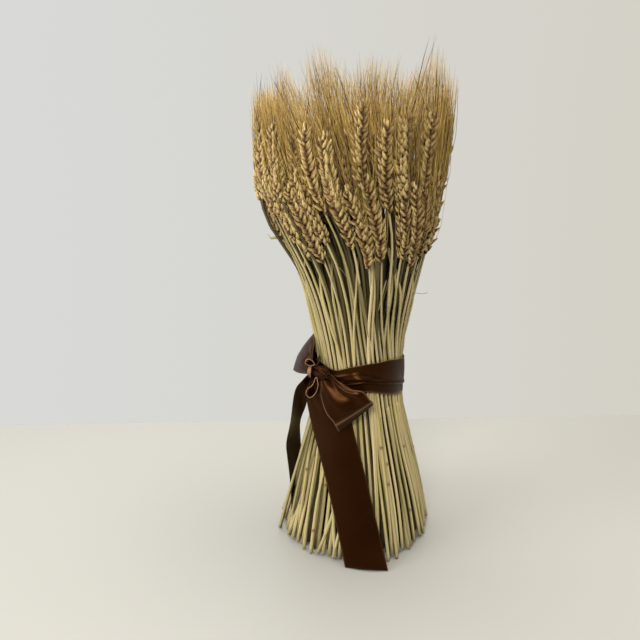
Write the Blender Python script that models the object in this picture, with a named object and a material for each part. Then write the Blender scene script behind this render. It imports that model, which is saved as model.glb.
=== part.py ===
# Dried wheat sheaf, tied at the waist with one brown satin ribbon and standing on its cut ends.
# Metres, +Z up. The front is at -Y, the cut ends rest on z = 0, and the knot is at the front left.

import math

import bmesh
import bpy
import numpy as np
from mathutils import Matrix, Vector

# Where the stalks stand at the waist: a ring of pairs outside, and rings of single stalks inside
# as (stalks, radius).
OUTER_PAIRS = 28
OUTER_RADIUS = 0.0455
PAIR_SPACING = 0.0046
INNER_RINGS = ((20, 0.0270), (12, 0.0175), (5, 0.0088), (1, 0.0))
WAIST_LOW = 0.155
WAIST_HIGH = 0.225

# The sheaf's outline: height, and the radius that the outermost stalks keep to.
OUTLINE = (
    (0.000, 0.0835),
    (0.060, 0.0690),
    (0.100, 0.0590),
    (0.155, 0.0458),
    (0.225, 0.0458),
    (0.265, 0.0545),
    (0.300, 0.0640),
    (0.330, 0.0745),
    (0.370, 0.0860),
    (0.410, 0.0925),
    (0.450, 0.0945),
    (0.530, 0.0950),
)
SEED = 20

# How the stalks spread from the waist: the step in height, the pushes at each step and their
# strength, the sideways drift and the height over which it sets in, and the foot's extra splay.
MARCH_STEP = 0.010
PUSH_ROUNDS = 60
PUSH_SHARE = 0.35
DRIFT = 0.036
DRIFT_RAMP_UP = 0.015
DRIFT_RAMP_DOWN = 0.080
FOOT_SPLAY = 0.8

# Stalks: half width, the swollen joint near the foot, and the cut ends of the splayed ones.
STEM_HALF = 0.0018
STEM_HALF_BY_EAR = 0.0011
JOINT_HEIGHT = 0.060
JOINT_SWELL = 1.15
LIFT_FROM = 0.066
LIFT_SLOPE = 0.20

# Ears: a slim four-sided core with a pointed scale on each side at every level. Their feet are
# higher towards the middle of the sheaf, and some of the outer ears stand taller than their neighbours.
EAR_LENGTH = 0.078
EAR_LENGTH_SPREAD = 0.008
EAR_FOOT_OUTER = 0.326
EAR_FOOT_RISE = 0.046
EAR_FOOT_SPREAD = 0.016
TALL_SHARE = 0.28
TALL_RISE = 0.042
EAR_LEVELS = 6
EAR_TAPER = (0.80, 1.00, 1.04, 1.00, 0.90, 0.66)
EAR_TURN_SPREAD = math.pi / 4
EAR_CORE_HALF = (0.0026, 0.0019)
SCALE_REACH = (0.0063, 0.0045)
SCALE_LIFT = (0.95, 0.70, 0.62, 0.88)

# Half the width that a stem and an ear keep clear, and the height over which one becomes the other.
STEM_ROOM = 0.0032
EAR_ROOM = 0.0068
ROOM_RAMP = 0.085

# The core stands for the packed inner stems: height and radius, with a flute for each outer one.
CORE_PROFILE = ((0.105, 0.0385), (0.155, 0.0433), (0.225, 0.0433), (0.270, 0.0415))
CORE_FLUTES = 22
FLUTE_DEPTH = 0.0014

# Awns: one needle from the tip of each named scale, as (level, side), and one from the ear's top.
AWN_SCALES = ((1, 1), (2, 0), (4, 3), (5, 2))
AWN_HALF = 0.00036
AWN_TOP = 0.497
AWN_TOP_SPREAD = 0.020
AWN_REACH = 0.1035
AWN_FAN = 1.2
AWN_SPLAY = 0.016
AWN_TRIES = 40
AWN_CLEAR = 0.0011
AWN_ROOT_SKIP = 0.004
EAR_TIP_ROOM = 0.006
AWN_LEVELS = np.linspace(0.300, 0.540, 49)

# Ribbon: 40 mm satin, modelled as a thin solid strip. Turns run from the front towards +X.
RIBBON_WIDTH = 0.040
RIBBON_THICK = 0.0010
BAND_RADIUS = 0.0485
BAND_HEIGHT = 0.1845
BAND_SIDES = 32
GATHER_TURN = 0.55
KNOT_TURN = math.radians(-52)
KNOT_HEIGHT = 0.2015
KNOT_WIDTH = 0.0135
KNOT_SIZE = (0.0125, 0.0070, 0.0085)
KNOT_OUT = 0.0068
STEM_CLEAR = 0.0033

# Bow loops: the way to the fold, the direction across the ribbon, the side it opens to, and how far.
LEFT_LOOP = ((-0.0140, 0.0215, 0.0085), (0.40, -0.31, 0.86), (-0.80, -0.58, 0.20), 0.006)
RIGHT_LOOP = ((0.0428, -0.0260, -0.0455), (0.78, -0.30, 0.62), (0.00, -1.00, 0.35), 0.007)
LOOP_STEPS = 14
LOOP_ROOT_OUT = 0.0041
LOOP_ROOT_OPENING = 0.25
LOOP_WIDENING = 1.6

# Tails, as (height, turn, gap to the stems, twist, width), with the turn and twist in degrees.
FRONT_TAIL = (
    (0.2000, -50, 0.0030, 0, 0.014),
    (0.1800, -43, 0.0035, 0, 0.024),
    (0.1550, -31, 0.0035, 0, 0.038),
    (0.1200, -17, 0.0025, 0, 0.042),
    (0.0800, -4, 0.0025, 0, 0.042),
    (0.0400, 4, 0.0030, -3, 0.042),
    (0.0012, 10, 0.0085, -12, 0.042),
)
SIDE_TAIL = (
    (0.2000, -56, 0.0030, 0, 0.014),
    (0.1800, -68, 0.0060, 11, 0.024),
    (0.1500, -76, 0.0065, 20, 0.034),
    (0.1150, -81, 0.0030, 20, 0.040),
    (0.0800, -84, 0.0005, 16, 0.040),
    (0.0500, -88, 0.0000, 10, 0.040),
    (0.0240, -93, 0.0000, 5, 0.040),
)


def clear_scene():
    for item in list(bpy.data.objects):
        bpy.data.objects.remove(item, do_unlink=True)


def material(name, colour, roughness):
    made = bpy.data.materials.new(name)
    made.use_nodes = True
    shader = made.node_tree.nodes["Principled BSDF"]
    shader.inputs["Base Color"].default_value = (*colour, 1.0)
    shader.inputs["Roughness"].default_value = roughness
    shader.inputs["Metallic"].default_value = 0.0
    return made


def add_object(name, bm, surface):
    bmesh.ops.recalc_face_normals(bm, faces=bm.faces)
    mesh = bpy.data.meshes.new(name)
    bm.to_mesh(mesh)
    bm.free()
    mesh.materials.append(surface)
    made = bpy.data.objects.new(name, mesh)
    bpy.context.scene.collection.objects.link(made)
    return made


def outline(height):
    heights, radii = zip(*OUTLINE)
    return np.interp(height, heights, radii)


# Each outer pair stands side by side along its ring; its turns point from a stalk to its partner.
def waist_places():
    places, turns = [], []
    for k in range(OUTER_PAIRS):
        angle = 2 * math.pi * k / OUTER_PAIRS
        for side in (-1, 1):
            along = side * 0.5 * PAIR_SPACING * side_direction(angle, 1)
            places.append(OUTER_RADIUS * side_direction(angle, 0) + along)
            turns.append(angle - side * math.pi / 2)
    for stalks, radius in INNER_RINGS:
        for k in range(stalks):
            angle = 2 * math.pi * (k + 0.5) / stalks
            places.append(radius * side_direction(angle, 0))
            turns.append(angle)
    return np.array(places), np.array(turns)


# Walks the stalks from height to height. They follow the outline, drift a little, and are
# pushed apart wherever two of them would meet, so that no stalk crosses another. The splay
# spreads the inner stalks faster than the outer ones.
def march(places, heights, room, drift, ramp, splay):
    track = [places]
    for last, height in zip(heights, heights[1:]):
        loose = min(1.0, abs(height - heights[0]) / ramp)
        depth = 1.0 - np.linalg.norm(places, axis=1) / outline(last)
        widen = (outline(height) / outline(last)) ** (1.0 + splay * depth)
        places = places * widen[:, None] + drift * loose * abs(height - last)
        need = room(height)
        need = need[:, None] + need[None, :]
        for _ in range(PUSH_ROUNDS):
            apart = places[:, None, :] - places[None, :, :]
            distance = np.linalg.norm(apart, axis=2) + 1e-9
            push = np.clip(need - distance, 0.0, None) / distance * PUSH_SHARE
            np.fill_diagonal(push, 0.0)
            places = places + (apart * push[:, :, None]).sum(axis=1)
            reach = np.linalg.norm(places, axis=1)
            places = places * np.minimum(1.0, outline(height) / reach)[:, None]
        track.append(places)
    return np.array(track)


class Layout:
    # Where every stalk is at every height, how its ear stands, and where its awns end.
    def __init__(self):
        draw = np.random.default_rng(SEED)
        start, self.turns = waist_places()
        count = len(start)
        inner = 1.0 - (np.linalg.norm(start, axis=1) / OUTER_RADIUS) ** 2
        self.ear_foot = (
            EAR_FOOT_OUTER
            + EAR_FOOT_RISE * inner
            + draw.uniform(-EAR_FOOT_SPREAD, EAR_FOOT_SPREAD, count)
        )
        tall = (draw.uniform(0.0, 1.0, count) < TALL_SHARE) & (np.arange(count) < 2 * OUTER_PAIRS)
        self.ear_foot = self.ear_foot + TALL_RISE * tall
        self.ear_length = EAR_LENGTH + draw.uniform(-EAR_LENGTH_SPREAD, EAR_LENGTH_SPREAD, count)
        self.ear_turns = self.turns + draw.uniform(-EAR_TURN_SPREAD, EAR_TURN_SPREAD, count)
        awns = len(AWN_SCALES) + 1
        self.awn_tops = AWN_TOP + draw.uniform(-AWN_TOP_SPREAD, AWN_TOP_SPREAD, (count, awns))
        drift = draw.normal(0.0, DRIFT, (2, count, 2))
        up = np.arange(WAIST_HIGH, OUTLINE[-1][0] + MARCH_STEP / 2, MARCH_STEP)
        down = np.arange(WAIST_LOW, -MARCH_STEP, -MARCH_STEP)
        above = march(start, up, self.room, drift[0], DRIFT_RAMP_UP, 0.0)
        stem_room = np.full(count, STEM_ROOM)
        below = march(start, down, lambda _: stem_room, drift[1], DRIFT_RAMP_DOWN, FOOT_SPLAY)
        self.heights = np.concatenate((down[::-1], up))
        self.track = np.concatenate((below[::-1], above))
        self.lifts = self.cut_heights()

    # Half the width that each stalk needs at a height: its stem, then its ear, then its awns.
    def room(self, height):
        rise = np.clip((height - self.ear_foot) / ROOM_RAMP + 1.0, 0.0, 1.0)
        return STEM_ROOM + (EAR_ROOM - STEM_ROOM) * rise

    def place(self, stalk, height):
        x = np.interp(height, self.heights, self.track[:, stalk, 0])
        y = np.interp(height, self.heights, self.track[:, stalk, 1])
        return np.array((x, y))

    # The splayed outer stalks end a little above the surface.
    def cut_heights(self):
        lifts = []
        for stalk in range(self.track.shape[1]):
            reach = np.linalg.norm(self.place(stalk, 0.0))
            lifts.append(max(0.0, reach - LIFT_FROM) * LIFT_SLOPE)
        return lifts


def side_direction(turn, side):
    angle = turn + side * math.pi / 2
    return np.array((math.cos(angle), math.sin(angle)))


# Four corners of a rectangle around a place; side 0 of the tube faces along the turn.
def ring(bm, place, height, half, turn):
    along, across = side_direction(turn, 0), side_direction(turn, 1)
    corners = ((1, -1), (1, 1), (-1, 1), (-1, -1))
    return [
        bm.verts.new((*(place + a * half[0] * along + b * half[1] * across), height))
        for a, b in corners
    ]


def tube(bm, rings):
    levels = []
    for low, high in zip(rings, rings[1:]):
        levels.append(
            [
                bm.faces.new((low[k], low[(k + 1) % 4], high[(k + 1) % 4], high[k]))
                for k in range(4)
            ]
        )
    return levels


def scale_tip(layout, stalk, level, side):
    step = layout.ear_length[stalk] / EAR_LEVELS
    height = layout.ear_foot[stalk] + (level + 0.5 + SCALE_LIFT[side]) * step
    reach = SCALE_REACH[side % 2] * EAR_TAPER[level]
    out = side_direction(layout.ear_turns[stalk], side)
    return np.array((*(layout.place(stalk, height) + reach * out), height))


# A face of the core becomes a pointed scale.
def raise_scale(bm, face, tip):
    centre = bmesh.ops.poke(bm, faces=[face])["verts"][0]
    centre.co = Vector(tip)


# A face of the core becomes a scale whose tip runs on as an awn.
def raise_awn(bm, face, tip, out, end):
    middle = face.calc_center_median()
    root = bmesh.ops.extrude_discrete_faces(bm, faces=[face])["faces"][0]
    across = np.array((-out[1], out[0]))
    for vertex in root.verts:
        flat = np.array(vertex.co - middle)
        side = math.copysign(AWN_HALF, flat[:2] @ across)
        inward = math.copysign(AWN_HALF, flat[2])
        vertex.co = Vector((*(tip[:2] + side * across - inward * out), tip[2]))
    point = bmesh.ops.poke(bm, faces=[root])["verts"][0]
    point.co = Vector(end)


# The needle from a root to an end, read at the levels where awns are compared.
def needle(root, end):
    share = np.clip((AWN_LEVELS - root[2]) / (end[2] - root[2]), 0.0, 1.0)
    line = root[:2] + share[:, None] * (end - root)[:2]
    return line, (AWN_LEVELS > root[2] + AWN_ROOT_SKIP) & (AWN_LEVELS < end[2])


# How much room a needle has to the other ears and to the needles already placed.
def needle_room(line, used, ears, stalk, needles):
    axes, halves = ears
    gaps = np.linalg.norm(axes - line[None], axis=2) - halves
    gaps[stalk] = 1.0
    gaps[halves == 0.0] = 1.0
    room = gaps[:, used].min()
    for other, other_used in needles:
        both = used & other_used
        if both.any():
            room = min(room, np.linalg.norm(other[both] - line[both], axis=1).min())
    return room


# Ends for the awns, each drawn wider and wider until its needle is clear.
def awn_ends(layout):
    draw = np.random.default_rng(SEED + 1)
    count = layout.track.shape[1]
    axes = np.array([[layout.place(s, z) for z in AWN_LEVELS] for s in range(count)])
    feet = layout.ear_foot[:, None]
    tops = feet + layout.ear_length[:, None] + EAR_TIP_ROOM
    halves = np.where((AWN_LEVELS > feet) & (AWN_LEVELS < tops), EAR_ROOM, 0.0)
    needles, ends = [], {}
    for stalk in range(count):
        roots = [scale_tip(layout, stalk, level, side) for level, side in AWN_SCALES]
        top = layout.ear_foot[stalk] + layout.ear_length[stalk]
        roots.append(np.array((*layout.place(stalk, top), top)))
        for number, root in enumerate(roots):
            height = layout.awn_tops[stalk, number]
            offset = root[:2] - layout.place(stalk, root[2])
            home = layout.place(stalk, height) + AWN_FAN * offset
            best = (-1.0, None, None)
            for attempt in range(AWN_TRIES):
                splay = AWN_SPLAY * attempt / AWN_TRIES
                aim = home + draw.uniform(-splay, splay, 2)
                aim = aim * min(1.0, AWN_REACH / np.linalg.norm(aim))
                end = np.array((*aim, height))
                line, used = needle(root, end)
                room = needle_room(line, used, (axes, halves), stalk, needles)
                if room > best[0]:
                    best = (room, end, (line, used))
                if room > AWN_CLEAR:
                    break
            needles.append(best[2])
            ends[stalk, number] = best[1]
    return ends


def add_ear(bm, layout, stalk, levels, cap, ends):
    awned = {scale: number for number, scale in enumerate(AWN_SCALES)}
    for level, faces in enumerate(levels):
        for side, face in enumerate(faces):
            tip = scale_tip(layout, stalk, level, side)
            number = awned.get((level, side))
            if number is None:
                raise_scale(bm, face, tip)
            else:
                out = side_direction(layout.ear_turns[stalk], side)
                raise_awn(bm, face, tip, out, ends[stalk, number])
    raise_scale(bm, cap, ends[stalk, len(AWN_SCALES)])


# One stalk from its cut end to its last awn. Returns the face that meets its partner.
def add_stalk(bm, layout, stalk, ends):
    turn, ear_turn = layout.turns[stalk], layout.ear_turns[stalk]
    stem = ((STEM_HALF, STEM_HALF), turn)
    swollen = ((STEM_HALF * JOINT_SWELL,) * 2, turn)
    rings = [(layout.lifts[stalk], *stem), (JOINT_HEIGHT, *swollen)]
    rings += [(WAIST_LOW, *stem), (WAIST_HIGH, *stem)]
    foot, step = layout.ear_foot[stalk], layout.ear_length[stalk] / EAR_LEVELS
    rings.append((foot, (STEM_HALF_BY_EAR,) * 2, ear_turn))
    for level in range(EAR_LEVELS):
        half = tuple(side * EAR_TAPER[level] for side in EAR_CORE_HALF)
        if level == EAR_LEVELS - 1:
            half = (AWN_HALF * 2, AWN_HALF * 2)
        rings.append((foot + (level + 1) * step, half, ear_turn))
    loops = [ring(bm, layout.place(stalk, z), z, half, turn) for z, half, turn in rings]
    levels = tube(bm, loops)
    bm.faces.new(reversed(loops[0]))
    cap = bm.faces.new(loops[-1])
    add_ear(bm, layout, stalk, levels[4:], cap, ends)
    return levels[2][0]


# The two stalks of an outer pair are pressed into one another along the waist.
def add_pair(layout, number, ends, surface):
    bm = bmesh.new()
    touching = [add_stalk(bm, layout, 2 * number + side, ends) for side in range(2)]
    edges = [edge for face in touching for edge in face.edges]
    bmesh.ops.delete(bm, geom=touching, context="FACES_ONLY")
    bmesh.ops.bridge_loops(bm, edges=edges)
    return add_object(f"stalks_{number + 1:02d}", bm, surface)


# The inner stalks grow out of a fluted core, which is as tall as the tight part of the sheaf.
def add_inner(layout, ends, surface):
    bm = bmesh.new()
    loops = []
    for height, radius in CORE_PROFILE:
        loop = []
        for k in range(2 * CORE_FLUTES):
            reach = radius - FLUTE_DEPTH * (k % 2)
            place = reach * side_direction(math.pi * k / CORE_FLUTES, 0)
            loop.append(bm.verts.new((*place, height)))
        loops.append(loop)
    for low, high in zip(loops, loops[1:]):
        for k in range(len(low)):
            after = (k + 1) % len(low)
            bm.faces.new((low[k], low[after], high[after], high[k]))
    bm.faces.new(reversed(loops[0]))
    bm.faces.new(loops[-1])
    core = add_object("stalks_inner", bm, surface)
    bm = bmesh.new()
    for stalk in range(2 * OUTER_PAIRS, len(layout.turns)):
        add_stalk(bm, layout, stalk, ends)
    join(core, [add_object("inner_shells", bm, surface)])


# Joins helper solids onto an object, and keeps the helpers out of the part.
def join(whole, pieces):
    for piece in pieces:
        piece.hide_render = True
        piece.display_type = "WIRE"
        union = whole.modifiers.new(piece.name, "BOOLEAN")
        union.operation = "UNION"
        union.solver = "EXACT"
        union.object = piece


# A strip through a list of (centre, side direction, outward normal, width).
def strip(name, stations, surface, closed=False):
    bm = bmesh.new()
    loops = []
    for centre, side, normal, width in stations:
        across = Vector(side).normalized() * width / 2
        thick = Vector(normal).normalized() * RIBBON_THICK / 2
        corners = ((1, -1), (1, 1), (-1, 1), (-1, -1))
        loops.append([bm.verts.new(Vector(centre) + a * across + b * thick) for a, b in corners])
    for low, high in zip(loops, loops[1:] + loops[:1] if closed else loops[1:]):
        for k in range(4):
            corners = (low[k], low[(k + 1) % 4], high[(k + 1) % 4], high[k])
            # Both broad sides are split along the same diagonal, which keeps the strip's thickness.
            first = 1 if k == 3 else 0
            corners = corners[first:] + corners[:first]
            bm.faces.new(corners[:3])
            bm.faces.new((corners[0], corners[2], corners[3]))
    if not closed:
        bm.faces.new(loops[0])
        bm.faces.new(reversed(loops[-1]))
    return add_object(name, bm, surface)


def around(turn, radius, height):
    return Vector((radius * math.sin(turn), -radius * math.cos(turn), height))


def outward(turn):
    return Vector((math.sin(turn), -math.cos(turn), 0.0))


def onward(turn):
    return Vector((math.cos(turn), math.sin(turn), 0.0))


# The band goes once round the waist, and is gathered and raised towards the knot.
def band(surface):
    stations = []
    for k in range(BAND_SIDES):
        turn = KNOT_TURN + 2 * math.pi * k / BAND_SIDES
        away = math.remainder(turn - KNOT_TURN, 2 * math.pi)
        near = math.exp(-((away / GATHER_TURN) ** 2))
        height = BAND_HEIGHT + (KNOT_HEIGHT - BAND_HEIGHT) * near
        width = RIBBON_WIDTH + (KNOT_WIDTH - RIBBON_WIDTH) * near
        stations.append((around(turn, BAND_RADIUS, height), (0, 0, 1), outward(turn), width))
    return strip("ribbon", stations, surface, closed=True)


def knot(surface):
    bm = bmesh.new()
    bmesh.ops.create_uvsphere(bm, u_segments=10, v_segments=6, radius=1.0)
    bmesh.ops.scale(bm, vec=KNOT_SIZE, verts=bm.verts)
    bmesh.ops.rotate(bm, matrix=Matrix.Rotation(KNOT_TURN, 3, "Z"), verts=bm.verts)
    centre = around(KNOT_TURN, BAND_RADIUS + KNOT_OUT, KNOT_HEIGHT)
    bmesh.ops.translate(bm, vec=centre, verts=bm.verts)
    return add_object("knot_lump", bm, surface)


# A bow loop: out from the knot to its fold and back, open between its two layers.
def bow_loop(name, loop, surface):
    start = around(KNOT_TURN, BAND_RADIUS + LOOP_ROOT_OUT, KNOT_HEIGHT)
    reach, side, normal = (Vector(direction) for direction in loop[:3])
    side.normalize()
    normal.normalize()
    opening = loop[3]
    stations = []
    for k in range(LOOP_STEPS):
        angle = 2 * math.pi * k / LOOP_STEPS
        share = 0.5 - 0.5 * math.cos(angle)
        spread = LOOP_ROOT_OPENING + (1.0 - LOOP_ROOT_OPENING) * share
        centre = start + share * reach + (1.0 + math.sin(angle)) * opening * spread * normal
        along = 0.5 * math.sin(angle) * reach + math.cos(angle) * opening * normal
        width = KNOT_WIDTH + (RIBBON_WIDTH - KNOT_WIDTH) * min(1.0, LOOP_WIDENING * share)
        stations.append((centre, side, side.cross(along), width))
    return strip(name, stations, surface, closed=True)


# A tail hangs from the knot outside the stems, and turns out of their outline where it twists.
def tail(name, route, surface):
    stations = []
    for height, turn, gap, twist, width in route:
        turn, twist = math.radians(turn), math.radians(twist)
        radius = outline(height) + STEM_CLEAR + gap + width / 2 * math.sin(twist)
        side = onward(turn) * math.cos(twist) + outward(turn) * math.sin(twist)
        normal = outward(turn) * math.cos(twist) - onward(turn) * math.sin(twist)
        stations.append((around(turn, radius, height), side, normal, width))
    return strip(name, stations, surface)


# The ribbon is one strip: its band, knot, loops and tails are joined in one solid.
def add_ribbon(surface):
    pieces = [
        knot(surface),
        bow_loop("left_loop", LEFT_LOOP, surface),
        bow_loop("right_loop", RIGHT_LOOP, surface),
        tail("front_tail", FRONT_TAIL, surface),
        tail("side_tail", SIDE_TAIL, surface),
    ]
    join(band(surface), pieces)


def main():
    clear_scene()
    straw = material("dried_straw", (0.33, 0.235, 0.095), 0.75)
    satin = material("brown_satin", (0.034, 0.013, 0.005), 0.35)
    layout = Layout()
    ends = awn_ends(layout)
    for number in range(OUTER_PAIRS):
        add_pair(layout, number, ends, straw)
    add_inner(layout, ends, straw)
    add_ribbon(satin)


main()
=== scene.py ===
import math

import bpy
import numpy as np
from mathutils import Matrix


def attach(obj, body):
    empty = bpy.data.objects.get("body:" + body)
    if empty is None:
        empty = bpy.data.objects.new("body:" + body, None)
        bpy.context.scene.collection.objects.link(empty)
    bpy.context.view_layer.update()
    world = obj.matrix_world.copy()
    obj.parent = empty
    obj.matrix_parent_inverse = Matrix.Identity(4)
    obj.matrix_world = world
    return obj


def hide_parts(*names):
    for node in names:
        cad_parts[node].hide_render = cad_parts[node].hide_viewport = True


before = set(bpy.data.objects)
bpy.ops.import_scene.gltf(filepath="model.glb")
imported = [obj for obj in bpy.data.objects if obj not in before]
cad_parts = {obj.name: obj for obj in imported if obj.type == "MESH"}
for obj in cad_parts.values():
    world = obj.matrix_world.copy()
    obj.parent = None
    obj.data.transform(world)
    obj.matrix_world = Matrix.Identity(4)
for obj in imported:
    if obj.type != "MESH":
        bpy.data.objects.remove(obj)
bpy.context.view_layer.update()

# A tied sheaf of bearded wheat: straws, ears, awns and one brown satin ribbon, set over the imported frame.
# Metres, +Z up. The front is at -Y and a turn of 0 faces it, growing towards +X.

# How the stalks stand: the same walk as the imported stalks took, then swayed and twisted, so each piece stands
# round its own nodes. By height: outline is the sheaf's radius, lean its sway towards +X, twist its turn in
# degrees, and leftTurn a further turn of what stands round leftMiddle, leftWidth to each side.
sheaf = dict(
    pairs=28, groupPairs=4, ringRadius=0.0455, pairSpacing=0.0046,
    innerRings=((20, 0.0270), (12, 0.0175), (5, 0.0088), (1, 0.0)),
    waistLow=0.155, waistHigh=0.225,
    outline=((0.000, 0.0835), (0.060, 0.0690), (0.100, 0.0590), (0.155, 0.0458), (0.225, 0.0458),
             (0.265, 0.0545), (0.300, 0.0640), (0.330, 0.0745), (0.370, 0.0860), (0.410, 0.0925),
             (0.450, 0.0945), (0.530, 0.0950)),
    seed=20, walkStep=0.010, pushRounds=60, pushShare=0.35,
    drift=0.036, driftRampUp=0.015, driftRampDown=0.080, footSplay=0.8,
    stemRoom=0.0032, earRoom=0.0068, roomRamp=0.085, liftFrom=0.066, liftSlope=0.20, awnScales=5,
    lean=((-0.01, 0.0020), (0.03, 0.0045), (0.06, 0.0055), (0.20, 0.0052), (0.28, 0.0048), (0.32, 0.0018),
          (0.35, -0.0028), (0.385, -0.0068), (0.42, -0.0040), (0.46, 0.0006), (0.50, 0.0024),
          (0.56, 0.0028)),
    twist=((-0.01, -13.5), (0.00, -13.0), (0.06, -11.0), (0.12, -8.0), (0.16, -4.8), (0.19, 0.0),
           (0.22, 5.6), (0.25, 10.2), (0.29, 12.9), (0.34, 14.6), (0.41, 19.4), (0.56, 20.4)),
    leftTurn=((0.32, 0.0), (0.35, 2.8), (0.39, 9.0), (0.43, 13.5), (0.47, 15.0), (0.56, 15.0)),
    leftMiddle=24.0, leftWidth=54.0, tableRound=0.015, tableSamples=7,
    waistRounds=40, plainRounds=4, roundBelow=0.05, roundAbove=0.09, roundRamp=0.03,
)

# Tracks are kept at even heights: the lowest, the step, and how many the straws outside the walk have.
gridBase, gridStep, gridCount = -0.005, 0.005, 80

# Straws packed between and behind the outer ones, as rings of (straws, radius, share of a step turned). In
# the first ring all but every third carry an ear that bends out between the outer ears. Their dark share is
# painted shade: it lowers their tone so that the packed straws are darker in colour.
fillers = dict(
    rings=((28, 0.0424, 0.5), (28, 0.0386, 0.0), (28, 0.0344, 0.5), (24, 0.0306, 0.0), (22, 0.0225, 0.5)),
    room=0.0019, drift=0.030, lowestTop=0.364, highestTop=0.440, topRadius=0.00125, dark=0.75, seed=41,
    earlessEvery=3, earFoot=0.375, earFootSpread=0.015, earSpikelets=23, earSeed=19,
    earOut=(0.002, 0.014), outFrom=0.27, outFull=0.37, earReach=0.0915,
)

# A straw's radius at the knots, which are shares of its height: footRadius, waistRadius, aboveWaist of that,
# belowTop of its top's radius, and that radius. The side shade is painted shade: it darkens the colour of the
# sides that face into the bundle.
stems = dict(
    footRadius=0.00205, waistRadius=0.00185, earRadius=0.00100, knots=(0.0, 0.35, 0.60, 0.82, 1.0),
    aboveWaist=0.90, belowTop=1.2, girth=(0.80, 1.12),
    jointSwell=1.22, jointHalf=0.0015, jointLow=0.014, jointHigh=0.120, jointShare=0.5,
    # cutMarks mark the hollow's inner rings, which the straw material paints dark as shade.
    jointRings=(-2.2, -1.0, -0.3, 0.3, 1.0, 2.2), hollowShare=0.66, hollowDepth=0.007, cutMarks=(-1.0, -0.6),
    sides=8, rings=26, grainRise=10.0, grainShift=50, paintedSideShade=0.6, paintedShadeFrom=0.3, paintedShadeSpan=0.9,
)

# Where ears start, how long they are, and by share of an ear: the husks' size and how many carry an awn.
ears = dict(
    length=0.078, lengthSpread=0.008, footOuter=0.326, footRise=0.046, footSpread=0.016,
    tallShare=0.28, tallRise=0.042, turnSpread=math.pi / 4, seed=7, strawShare=0.55,
    outerSpikelets=24, innerSpikelets=19, firstStep=0.4, spareSteps=0.6, spikeletShare=0.93, slopeStep=0.006,
    sizes=((0.0, 0.72), (0.1, 0.92), (0.35, 1.04), (0.6, 1.02), (0.85, 0.90), (1.0, 0.74)),
    sizeSpread=(0.92, 1.10), awned=((0.0, 0.35), (0.35, 0.7), (0.6, 1.0)), commonTone=0.6,
)

# One spikelet's husks: how far apart, how high up, lean out, lean aside, length, half width, half depth,
# and the share of them that carries an awn.
husks = dict(
    glumeLeft=(-0.0023, -0.0003, 42, -14, 0.0084, 0.0022, 0.0018, 0.0),
    glumeRight=(0.0023, -0.0003, 42, 14, 0.0084, 0.0022, 0.0018, 0.0),
    grainLeft=(-0.0018, 0.0008, 38, -9, 0.0117, 0.0024, 0.0021, 0.72),
    grainRight=(0.0018, 0.0008, 38, 9, 0.0117, 0.0024, 0.0021, 0.72),
    grainTop=(0.0000, 0.0022, 20, 0, 0.0096, 0.0021, 0.0018, 0.52),
)
# Every husk's profile as shares of its length and half width, its curl, and its spreads in degrees.
huskForm = dict(
    sides=5, along=(0.05, 0.24, 0.48, 0.74, 0.91), swell=(0.40, 0.88, 1.0, 0.64, 0.20), bend=0.09,
    leanSpread=6.0, asideSpread=8.0, topFrom=0.93, topLean=0.35, reach=(0.84, 1.14),
    rootAcross=0.0013, faceAside=0.8, faceDown=0.3, grainShift=60,
)

# Awns. crown is the height of the sheaf's outline by x, and leftLean carries those at the left outward.
awns = dict(
    length=0.112, lengthSpread=0.016, shortest=0.030, shortestSpread=(0.6, 1.2), seed=11,
    radius=0.00026, tipRadius=0.00011, girth=(0.8, 1.2), taper=0.8, stations=4, sides=3, grainStep=0.5,
    grainShift=60, grainAcross=(0.0, 0.0),
    fan=(1.4, 4.2), scatter=0.0055, straight=0.62, slopeReach=0.05,
    reach=0.1035, reachSpread=0.0055, reachClip=(-2.0, 1.7), softReach=0.072,
    leftLean=0.27, leftFrom=0.020, leftFull=-0.060, bow=0.0016, outset=0.07, inset=0.38, rootDepth=0.0012,
    crown=((-0.100, 0.484), (-0.087, 0.515), (-0.070, 0.485), (-0.056, 0.515), (-0.041, 0.527),
           (-0.012, 0.501), (0.011, 0.516), (0.030, 0.512), (0.051, 0.498), (0.071, 0.523),
           (0.087, 0.520), (0.100, 0.494)),
    crownSpread=0.008, highest=0.539, domeDrop=0.030,
    wispShare=0.03, wispRise=0.018, wispRiseSpread=(0.3, 1.0), wispGirth=1.8, wispTone=0.15,
)


# Vectors over their own lengths.
def unit(vectors):
    return vectors / np.maximum(np.linalg.norm(vectors, axis=-1, keepdims=True), 1e-12)


# The direction of an angle from +X: its cosine and sine.
def turned(angle):
    return np.stack([np.cos(angle), np.sin(angle)], axis=-1)


# The direction out from the axis at a turn from the front: its sine and minus its cosine, level.
def outwardAt(turn):
    return np.stack([np.sin(turn), -np.cos(turn), np.zeros_like(turn)], axis=-1)


# A bell: 1 at 0 and e to the minus x squared to both sides.
def bell(x):
    return np.exp(-(x ** 2))


# A table of (place, value) pairs, straight between its pairs.
def tableAt(table, where):
    places, values = zip(*table)
    return np.interp(where, places, values)


# The sheaf's radius at a height.
def outlineAt(height):
    return tableAt(sheaf["outline"], height)


# A table by height without its corners: the mean of its values from just below to just above.
def softTable(table, height):
    spread = np.linspace(-1.0, 1.0, sheaf["tableSamples"]) * sheaf["tableRound"]
    return tableAt(table, np.asarray(height)[..., None] + spread).mean(axis=-1)


# The whole sheaf sways a few millimetres sideways with height: x plus the lean at z.
def leaned(points):
    moved = np.array(points, float)
    moved[..., 0] += softTable(sheaf["lean"], moved[..., 2])
    return moved


# The bundle's turn in radians, the way that angles from +X grow.
def twistAt(height):
    return -np.radians(softTable(sheaf["twist"], height))


# Flat points turned about the axis: x cos - y sin, x sin + y cos.
def rotated(flat, turn):
    x, y = flat[..., 0], flat[..., 1]
    return np.stack([x * np.cos(turn) - y * np.sin(turn), x * np.sin(turn) + y * np.cos(turn)], axis=-1)


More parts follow.
